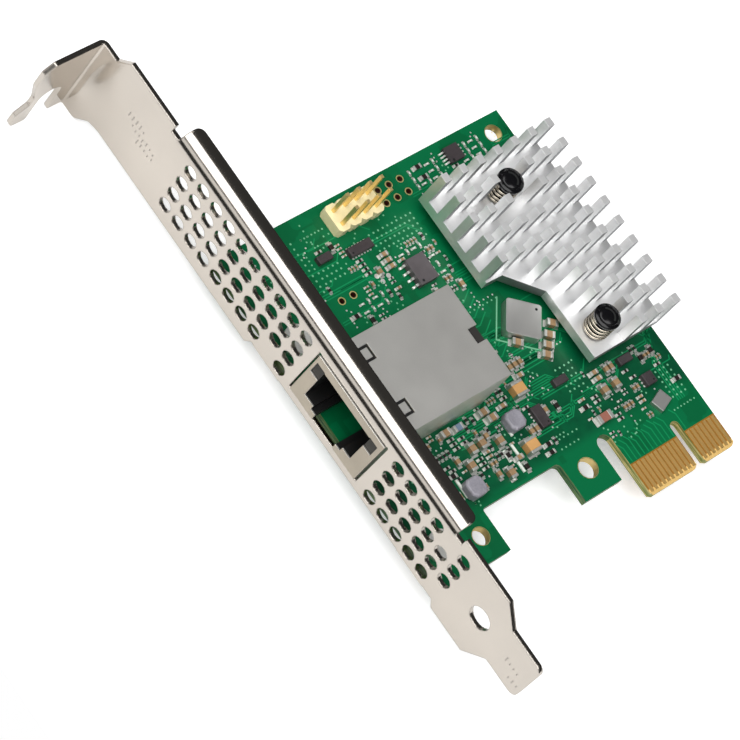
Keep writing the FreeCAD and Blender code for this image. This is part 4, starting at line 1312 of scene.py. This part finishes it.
@dataclass
class Copper:
    """What the etched copper shows on the board's faces.

    Attributes:
        track_wide: Width of a signal track.
        lift: Step between layers laid over each other.
        fan: Left end, lowest level, pitch and number of the tracks from the jack to the controller.
        fan_bend: Where the first of them bends, and the step to the next of four.
        fan_rise: How far they rise at the bend.
        fan_end: Where they bend again, where they end, and how far above their start.
        side: Place, pitch and number of the tracks down the board's right edge.
        side_levels: Their top, the first track's two bends, and their foot.
        side_jog: How far they step aside between the bends.
        lead: Place, pitch and number of the tracks that lead up from the contacts.
        lead_levels: Their foot, the first one's bend, and the step to the next of three.
        lead_jog: How far they run aside and up past the bend.
        key_half: Half width of the key slot, where no track leads up.
        track_seed: Seed of the scattered tracks.
        stray_count: Bundles of tracks scattered over each face.
        stray_x: Lowest and highest x at which a bundle starts.
        stray_y: Lowest and highest y.
        stray_long: Least and greatest length of its tracks.
        stray_knee: Least and greatest length of their slanted ends.
        stray_step: Pitch of the tracks in a bundle.
        stray_edge: Rightmost end of the straight run, and of the slanted one.
        stray_share: Width of a scattered track as a share of a signal track's.
        bundle: How many tracks a bundle may have.
        via_radius: Radius of a masked via.
        via_room: Room kept free round a via.
        via_count: Rows of vias tried over both faces.
        via_x: Lowest and highest x at which a row starts.
        via_y: Lowest and highest y.
        via_pitch: Least and greatest pitch of a row.
        via_turns: Directions that a row may have, in half turns.
        via_top: Share of the rows on the component face.
        via_runs: How many vias a row may have.
        via_seed: Seed of the rows.
        far_face: Lowest and highest x, lowest and highest y of the vias on the far face.
        jack_foot: Right edge, lowest and highest y of the jack's pins, where no via shows on the far face.
        grid_grow: Radius of a via in a tidy field as a share of the others'.
        fields: Left, low, columns, rows and pitch of each tidy field of vias.
        ring_gap: How far a plated ring starts outside its hole.
        mounting: Middle and radius of the mounting holes.
        leads: Middle and radius of the free lead holes.
        pads: Middles of the bare round pads.
        pad_radius: Their radius.
    """

    track_wide: float = 0.22
    lift: float = 0.012
    fan: tuple[float, float, float, int] = (-29.6, 31.0, 1.55, 8)
    fan_bend: tuple[float, float] = (-25.6, 0.35)
    fan_rise: float = 1.1
    fan_end: Triple = (-20.6, -18.2, 2.6)
    side: tuple[float, float, int] = (7.3, 0.5, 4)
    side_levels: tuple[float, float, float, float] = (62.5, 24.0, 21.5, 11.0)
    side_jog: float = 2.0
    lead: tuple[float, float, int] = (-11.4, 1.0, 14)
    lead_levels: Triple = (6.4, 9.0, 0.4)
    lead_jog: tuple[float, float] = (0.8, 1.2)
    key_half: float = 1.2
    track_seed: int = 21
    stray_count: int = 70
    stray_x: tuple[float, float] = (-52, 4)
    stray_y: tuple[float, float] = (16, 64)
    stray_long: tuple[float, float] = (3, 12)
    stray_knee: tuple[float, float] = (0.6, 2.4)
    stray_step: float = 0.45
    stray_edge: tuple[float, float] = (7.2, 7.6)
    stray_share: float = 0.9
    bundle: tuple[int, ...] = (1, 2, 3, 4)
    via_radius: float = 0.17
    via_room: float = 0.3
    via_count: int = 620
    via_x: tuple[float, float] = (-54, 7)
    via_y: tuple[float, float] = (7, 67)
    via_pitch: tuple[float, float] = (0.75, 1.1)
    via_turns: tuple[float, ...] = (0.0, 0.5, 0.25, 0.75)
    via_top: float = 0.62
    via_runs: tuple[int, ...] = (1, 2, 3, 5, 7)
    via_seed: int = 8
    far_face: tuple[float, float, float, float] = (-54, 7.5, 14, 68)
    jack_foot: Triple = (-28, 26, 46)
    grid_grow: float = 1.15
    fields: tuple[tuple[float, float, int, int, float], ...] = (
        (-47.5, 55.5, 6, 10, 1.05), (-28.5, 57.0, 13, 4, 1.05), (-41.0, 56.5, 5, 3, 1.05),
        (-13.5, 21.5, 4, 5, 1.05), (3.2, 12.0, 4, 6, 1.0))
    ring_gap: float = 0.02
    mounting: tuple[Triple, ...] = ((4.7, 65.3, 1.55), (-19.5, 9.3, 1.8), (-44.6, 8.95, 1.55))
    leads: tuple[Triple, ...] = (
        (-21.8, 63.45, 0.5), (-21.8, 65.99, 0.5), (-19.26, 63.45, 0.5), (-19.26, 65.99, 0.5),
        (-16.72, 63.45, 0.5), (-16.72, 65.99, 0.5), (-40.4, 52.8, 0.5), (-37.86, 52.8, 0.5))
    pads: tuple[tuple[float, float], ...] = (
        (-19.1, 31.5), (-18.0, 29.8), (-21.0, 28.7), (-31.9, 53.6), (-29.9, 52.8), (-31.5, 52.4))
    pad_radius: float = 0.45

    def build(self, taken: Occupied) -> None:
        """Lay tracks, vias and pads.

        Args:
            taken: The places taken on the component face.
        """
        self.tracks()
        self.vias(taken)
        self.holes()

    def tracks(self) -> None:
        """Lay the tracks of both faces."""
        draft = Draft()
        left, low, pitch, count = self.fan
        bend, stagger = self.fan_bend
        turn, end, climb = self.fan_end
        for number in range(count):
            y, x = low + pitch * number, bend + stagger * (number % 4)
            top = y + self.fan_rise
            bent = x + 2 * self.fan_rise
            self.track(draft, [(left, y), (x, y), (bent, top), (turn, top), (end, y + climb)])
        right, step, count = self.side
        head, upper, lower, foot = self.side_levels
        for number in range(count):
            x = right - step * number
            aside = x - self.side_jog
            self.track(draft, [(x, head), (x, upper - number), (aside, lower - number), (aside, foot)])
        first, step, count = self.lead
        foot, knee, stagger = self.lead_levels
        aside, climb = self.lead_jog
        for number in range(count):
            x, bend = first + step * number, knee + stagger * (number % 3)
            if abs(x) > self.key_half:
                self.track(draft, [(x, foot), (x, bend), (x - aside, bend + climb)])
        draw = random.Random(self.track_seed)
        for sign in (1, -1):
            for _ in range(self.stray_count):
                self.bundle_of(draft, draw, sign)
        draft.build("copper_tracks", "board_green")

    def track(self, draft: Draft, route: list[tuple[float, float]]) -> None:
        """Lay one signal track on the component face."""
        draft.ribbon([Vector(point) for point in route], self.track_wide, self.lift, Finish.TRACK)

    def bundle_of(self, draft: Draft, draw: random.Random, sign: int) -> None:
        """Lay a bundle of parallel tracks with slanted ends somewhere on a face.

        Args:
            draft: The mesh to add to.
            draw: Where the places and lengths are drawn from.
            sign: 1 for the component face and -1 for the far face.
        """
        level = self.lift if sign > 0 else Board.BOTTOM.value - self.lift
        x, y = draw.uniform(*self.stray_x), draw.uniform(*self.stray_y)
        long, slant = draw.uniform(*self.stray_long), draw.choice(SIDES)
        end = min(self.stray_edge[0], x + long)
        for row in range(draw.choice(self.bundle)):
            shift = self.stray_step * row
            knee = draw.uniform(*self.stray_knee)
            tip = (min(self.stray_edge[1], end + knee), y + shift + slant * knee)
            points = [Vector(point) for point in ((x, y + shift), (end, y + shift), tip)]
            draft.ribbon(points[::sign], self.track_wide * self.stray_share, level, Finish.TRACK)

    def vias(self, taken: Occupied) -> None:
        """Scatter masked vias in short rows over both faces.

        Args:
            taken: The places taken on the component face.
        """
        draft = Draft()
        draw = random.Random(self.via_seed)
        for _ in range(self.via_count):
            x, y = draw.uniform(*self.via_x), draw.uniform(*self.via_y)
            pitch = draw.uniform(*self.via_pitch)
            turn = draw.choice(self.via_turns) * math.pi
            top = draw.random() < self.via_top
            finish = draw.choice((Finish.VIA, Finish.VIA, Finish.TIN))
            for number in range(draw.choice(self.via_runs)):
                centre = Vector((x + number * pitch * math.cos(turn), y + number * pitch * math.sin(turn), 0))
                if top and taken.free(centre.x, centre.y, self.via_room, self.via_room):
                    centre.z = Board.TOP.value + self.lift * 2
                    draft.ring(centre, 0, self.via_radius, finish, steps=8)
                if not top and self.clear_below(centre):
                    centre.z = Board.BOTTOM.value - self.lift * 2
                    draft.ring(centre, 0, self.via_radius, finish, steps=8, sign=-1)
        draft.build("vias", "tinned_metal")

    def clear_below(self, centre: Vector) -> bool:
        """Tell whether a via may show on the far face.

        Args:
            centre: Its middle.

        Returns:
            True if it lies on the board and clear of the jack's pins.
        """
        left, right, low, high = self.far_face
        edge, foot, head = self.jack_foot
        at_jack = foot < centre.y < head and centre.x <= edge
        return not at_jack and left < centre.x < right and low < centre.y < high

    def grids(self, taken: Occupied) -> None:
        """Lay tidy fields of masked vias where the poured copper is stitched, and keep them clear.

        Args:
            taken: The places taken on the component face.
        """
        draft = Draft()
        for left, low, columns, rows, pitch in self.fields:
            for number in range(columns * rows):
                x, y = left + number % columns * pitch, low + number // columns * pitch
                centre = Vector((x, y, self.lift * 2))
                place = (centre.x, centre.y, self.via_room, self.via_room)
                if taken.free(*place):
                    draft.ring(centre, 0, self.via_radius * self.grid_grow, Finish.VIA, steps=8)
                    taken.take(*place)
        draft.build("via_grids", "board_green")

    def holes(self) -> None:
        """Line and ring the plated holes, and add the bare pads."""
        draft = Draft()
        faces = ((Board.TOP.value, 1), (Board.BOTTOM.value, -1))
        for holes, edge, share, lining, steps in (
                (self.mounting, 0.1, 0.985, Finish.GOLD, 40), (self.leads, 0.22, 0.9, Finish.LINED, 16)):
            for x, y, radius in holes:
                for level, sign in faces:
                    centre = Vector((x, y, level + sign * self.lift))
                    draft.ring(centre, radius + self.ring_gap, radius + edge, Finish.GOLD, steps, sign)
                wall = radius * share
                rings = [[Vector((x + wall * math.cos(turn), y + wall * math.sin(turn), level))
                          for turn in round_trip(steps)] for level, _ in faces]
                draft.skin(rings, lining, caps=False)
        for x, y in self.pads:
            draft.ring(Vector((x, y, self.lift)), 0, self.pad_radius, Finish.TIN, steps=20)
        draft.build("plated_holes", "gold_plate")


@dataclass
class Print:
    """The long pale bars beside the parts and the line round the turned can.

    Attributes:
        bars: Middle of each bar, and its length.
        bar_wide: Width of the bars.
        bar_tall: Their height.
        bar_nick: Their chamfer.
        turn: Direction of the line's first corner from the can's middle, in degrees.
        reach: How far that corner stands from it.
        line_wide: Width of the line.
        line_level: Level of the line.
    """

    bars: tuple[Triple, ...] = (
        (-8.0, 18.7, 2.2), (-5.3, 18.8, 2.0), (-29.5, 17.5, 2.8), (-30.4, 15.05, 2.0), (-33.0, 15.0, 2.6),
        (-31.5, 17.7, 2.2), (-42.4, 16.9, 3.4), (-28.3, 21.25, 2.4))
    bar_wide: float = 0.5
    bar_tall: float = 0.3
    bar_nick: float = 0.08
    turn: float = 5.0
    reach: float = 5.7
    line_wide: float = 0.26
    line_level: float = 0.036

    def build(self) -> None:
        """Build the bars, and the line along three sides of the can, as one piece."""
        draft = Draft()
        for x, y, long in self.bars:
            bar = Vector((self.bar_wide, long, self.bar_tall))
            draft.box(Vector((x, y, 0)), bar, 0.0, Finish.SILK, self.bar_nick)
        low, high = box_mm("metal_can")
        middle = ((low + high) / 2).to_2d()
        turns = [math.radians(self.turn) + number * QUARTER for number in range(1, 5)]
        corners = [middle + self.reach * Vector((math.cos(turn), math.sin(turn))) for turn in turns]
        draft.ribbon(corners, self.line_wide, self.line_level, Finish.VIA)
        draft.build("print_lines", "board_green")


@dataclass
class SolderJoints:
    """Solder cones round the pins that come through the board's far face.

    Attributes:
        nodes: The CAD nodes whose pins are soldered.
        profile: Radii of a cone, and their depths under the board.
    """

    nodes: tuple[str, ...] = ("jack_pins", "header_pins")
    profile: tuple[tuple[float, float], ...] = ((0.34, 0.75), (0.42, 0.4), (0.75, 0.02))

    def build(self) -> None:
        """Build the cones as one piece."""
        draft = Draft()
        cone = [(radius, Board.BOTTOM.value - depth) for radius, depth in self.profile]
        for points in (points for node in self.nodes for points in corner_groups(node)):
            spread = Spread.of(points)
            x, y = (spread.low.x + spread.high.x) / 2, (spread.low.y + spread.high.y) / 2
            draft.lathe(Vector((x, y, 0)), cone, Finish.TIN, steps=14)
        draft.build("solder_joints", "tinned_metal")


@dataclass
class Marks:
    """Pin-one dimples on the chips as dark discs of painted shade, the dark spot on the can and plain stamped
    bars on the bracket in a darker metal that paints their shade.

    Attributes:
        spots: Node, share of its length and width, and radius of each spot.
        spot_tall: Height of a spot.
        spot_sunk: How far it is sunk into its chip.
        plate_x: Level of the bracket's outer face.
        stamped: Highest y, middle z and count of each row of stamped bars.
        pitch: Pitch of the bars.
        halves: Half lengths that a bar may have.
        shifts: How far it may stand off its row's middle.
        half_wide: Half width of a bar.
        proud: How far a bar stands out of the plate.
        seed: Seed of the bars' lengths.
    """

    spots: tuple[tuple[str, float, float, float], ...] = (
        ("flash_chip", 0.2, 0.12, 0.25), ("eeprom_chip", 0.2, 0.12, 0.25), ("metal_can", 0.87, 0.53, 0.26))
    spot_tall: float = 0.03
    spot_sunk: float = 0.02
    plate_x: float = -58.01
    stamped: tuple[tuple[float, float, int], ...] = (
        (94.2, 6.9, 5), (92.6, 5.5, 7), (90.4, 4.2, 5), (-10.0, 5.7, 4), (-12.3, 3.3, 3))
    pitch: float = 0.95
    halves: Triple = (0.25, 0.4, 0.55)
    shifts: Triple = (-0.15, 0.0, 0.15)
    half_wide: float = 0.13
    proud: float = 0.03
    seed: int = 5

    def build(self) -> None:
        """Build the spots as one piece and the bars as another."""
        draft = Draft()
        for node, across, up, radius in self.spots:
            low, high = box_mm(node)
            x, y = low.x + (high.x - low.x) * across, low.y + (high.y - low.y) * up
            centre = Vector((x, y, high.z - self.spot_sunk))
            # Dark discs: on the chips the painted shade of a dimple, on the can its dark dot.
            draft.lathe(centre, [(radius, 0.0), (radius, self.spot_tall)], Finish.HOLE, steps=16)
        draft.build("pin_one_spots", "chip_resin")
        bars = Draft()
        draw = random.Random(self.seed)
        for first, middle, count in self.stamped:
            for number in range(count):
                y, half = first - self.pitch * number, draw.choice(self.halves)
                low_z = middle + draw.choice(self.shifts) - half
                rings = [[Vector((x, y + side * self.half_wide, z)) for side, z in (
                    (-1, low_z), (-1, low_z + 2 * half), (1, low_z + 2 * half), (1, low_z))]
                    for x in (self.plate_x, self.plate_x - self.proud)]
                # The bars' darker metal paints the shade of the pressed marks.
                bars.skin(rings, Finish.STAMP, soft=False)
        bars.build("stamped_bars", "bracket_steel")


@dataclass
class Studio:
    """Pale floor, soft light painted in the world, and the camera.

    Only the camera sees the world white. Metal mirrors the painted room instead, whose dark part makes the
    dark strip along the bracket's bend.

    Attributes:
        camera_m: Place of the camera in metres.
        across: The camera's own right in the row frame.
        upward: The camera's own up in the row frame.
        backward: The camera's own back in the row frame.
        lens: Focal length in millimetres.
        sensor: Width of the sensor in millimetres.
        soft_axis: Direction of the softbox's middle.
        soft_edge: Cosines of the angles between which the softbox fades in.
        soft_side: Shares along x between which its left side fades in.
        glow: Brightness of the softbox.
        flag_middle: Middle along y of the dark flag hung before the softbox.
        flag_half: Half widths between which the flag fades out.
        flag_edge: Between which shares along x the flag begins.
        side_edge: Shares along x between which the low glow fades in.
        side_foot: Heights between which its foot fades in.
        side_head: Heights between which its head fades out.
        side_glow: Brightness of the low glow.
        fill: Brightness of the room round it.
        floor_low_m: Lowest corner of the floor.
        floor_high_m: Highest corner of the floor.
        floor_lift: Extra brightness with which the camera sees the floor.
    """

    camera_m: Triple = (-0.42407, -0.04974, 0.53621)
    across: Triple = (0.71252399, -0.56996318, 0.40920842)
    upward: Triple = (0.40465407, 0.81025363, 0.42396244)
    backward: Triple = (-0.57320558, -0.13649556, 0.80796307)
    lens: float = 203.03
    sensor: float = 36.0
    soft_axis: Triple = (-0.302, 0.0, 0.953)
    soft_edge: tuple[float, float] = (0.738, 0.756)
    soft_side: tuple[float, float] = (-0.74, -0.71)
    glow: float = 3.0
    flag_middle: float = 0.136
    flag_half: tuple[float, float] = (0.2, 0.15)
    flag_edge: tuple[float, float] = (0.02, 0.07)
    side_edge: tuple[float, float] = (-0.3, -0.6)
    side_foot: tuple[float, float] = (0.17, 0.21)
    side_head: tuple[float, float] = (0.53, 0.5)
    side_glow: float = 0.95
    fill: float = 0.04
    floor_low_m: tuple[float, float] = (-0.125, -0.3)
    floor_high_m: tuple[float, float] = (0.3, 0.4)
    floor_lift: float = 0.4

    def build(self, floor_level: float) -> None:
        """Set up camera, world and floor.

        Args:
            floor_level: Height of the floor in metres.
        """
        camera = bpy.data.cameras.new("camera")
        camera.lens = self.lens
        camera.sensor_width = self.sensor
        view = bpy.data.objects.new("camera", camera)
        turn = Matrix((self.across, self.upward, self.backward)).transposed().to_4x4()
        view.matrix_world = Matrix.Translation(self.camera_m) @ turn
        bpy.context.scene.collection.objects.link(view)
        bpy.context.scene.camera = view
        bpy.context.scene.view_settings.view_transform = "Standard"
        self.world()
        self.floor(floor_level)
        LOG.info("studio: camera, world and floor")

    def world(self) -> None:
        """Paint the softbox overhead, a low glow at the bracket's side and the dim room into the world."""
        world = bpy.data.worlds.new("studio")
        world.use_nodes = True
        bpy.context.scene.world = world
        sky = Nodes(world.node_tree, "Generated")
        aim = sky.add("ShaderNodeVectorMath", operation="DOT_PRODUCT")
        sky.feed(aim.inputs[0], sky.place)
        sky.feed(aim.inputs[1], self.soft_axis)
        across, along, height = sky.axes()
        middle = sky.maths("ABSOLUTE", sky.maths("SUBTRACT", along, self.flag_middle))
        flag = sky.maths("MULTIPLY", sky.step(middle, *self.flag_half), sky.step(across, *self.flag_edge))
        box = sky.step(aim.outputs["Value"], *self.soft_edge)
        cone = sky.maths("MULTIPLY", box, sky.step(across, *self.soft_side))
        unflagged = sky.maths("MULTIPLY", cone, sky.maths("SUBTRACT", 1.0, flag))
        soft = sky.maths("MULTIPLY", unflagged, self.glow)
        low = sky.maths("MULTIPLY", sky.step(height, *self.side_foot), sky.step(height, *self.side_head))
        side = sky.maths("MULTIPLY", sky.step(across, *self.side_edge), self.side_glow)
        light = sky.maths("ADD", sky.maths("ADD", soft, self.fill), sky.maths("MULTIPLY", low, side))
        seen = sky.add("ShaderNodeLightPath").outputs["Is Camera Ray"]
        background = world.node_tree.nodes["Background"]
        sky.feed(background.inputs["Color"], WHITE)
        sky.feed(background.inputs["Strength"], sky.maths("MAXIMUM", light, seen))

    def floor(self, level: float) -> None:
        """Lay the floor under the card.

        Args:
            level: Its height in metres.
        """
        shader = Shader("floor_white")
        seen = shader.add("ShaderNodeLightPath").outputs["Is Camera Ray"]
        shader.set(
            Base_Color=(0.9, 0.9, 0.9),
            Roughness=0.9,
            Specular_IOR_Level=0.1,
            Emission_Color=WHITE,
            Emission_Strength=shader.spread(seen, 0.0, self.floor_lift),
        )
        (left, near), (right, far) = self.floor_low_m, self.floor_high_m
        corners = [(left, near, level), (right, near, level), (right, far, level), (left, far, level)]
        mesh = bpy.data.meshes.new("floor")
        mesh.from_pydata(corners, [], [(0, 1, 2, 3)])
        mesh.materials.append(shader.material)
        plane = bpy.data.objects.new("floor", mesh)
        bpy.context.scene.collection.objects.link(plane)
        plane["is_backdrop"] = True


CAD_FINISHES = (
    CadPiece("bracket", Finish.BRACKET), CadPiece("circuit_board", Finish.MASK),
    CadPiece("edge_contacts", Finish.PALE_GOLD), CadPiece("jack_shield", Finish.SHIELD),
    CadPiece("jack_housing", Finish.JACK_BLACK), CadPiece("jack_contacts", Finish.GOLD),
    CadPiece("jack_magnetics", Finish.RESIN), CadPiece("jack_light_pipes", Finish.LAMP),
    CadPiece("jack_pins", Finish.TIN), CadPiece("heat_sink", Finish.ALUMINIUM),
    CadPiece("controller_chip", Finish.CHIP), CadPiece("thermal_pad", Finish.PAD),
    CadPiece("header_body", Finish.CREAM), CadPiece("header_pins", Finish.GOLD),
    CadPiece("flash_chip", Finish.CHIP), CadPiece("flash_chip_leads", Finish.TIN),
    CadPiece("eeprom_chip", Finish.SMALL_CHIP), CadPiece("eeprom_chip_leads", Finish.TIN),
    CadPiece("metal_can", Finish.CAN), CadPiece("bracket_screws", Finish.TIN),
    CadPiece("crystal", Finish.CAN),
)
FAMILIES = (
    ChipFamily("tantalum_capacitors", "tantalum_tan", Finish.TAN, 0.2),
    ChipFamily("ceramic_capacitors", "ceramic_brown", Finish.BROWN, 0.26),
    ChipFamily("resistors", "resistor_black", Finish.DARK, 0.24),
    ChipFamily("ferrite_beads", "ferrite_blue", Finish.BLUE, 0.24),
    ChipFamily("fuse", "fuse_red", Finish.RED, 0.24),
)


def main() -> None:
    """Load the frame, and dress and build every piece."""
    logging.basicConfig(level=logging.INFO, format="%(name)s %(message)s")
    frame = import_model()
    frame_box = [[*corner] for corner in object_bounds()]
    for piece in CAD_FINISHES:
        piece.dress()
    taken = Occupied()
    taken.read(frame["record"])
    for family in FAMILIES:
        family.build()
    Inductors().build()
    LeadlessChips("transistors", "chip_resin", Finish.SMALL_CHIP, dot=0.0).build()
    LeadlessChips("flat_chips", "chip_resin", Finish.SMALL_CHIP, pads=True).build()
    PushPins().build()
    copper = Copper()
    copper.grids(taken)
    TinyParts().build(taken)
    copper.build(taken)
    Print().build()
    SolderJoints().build()
    Marks().build()
    Studio().build(frame_box[0][2])
    LOG.info("built")


if __name__ == "__main__":
    main()
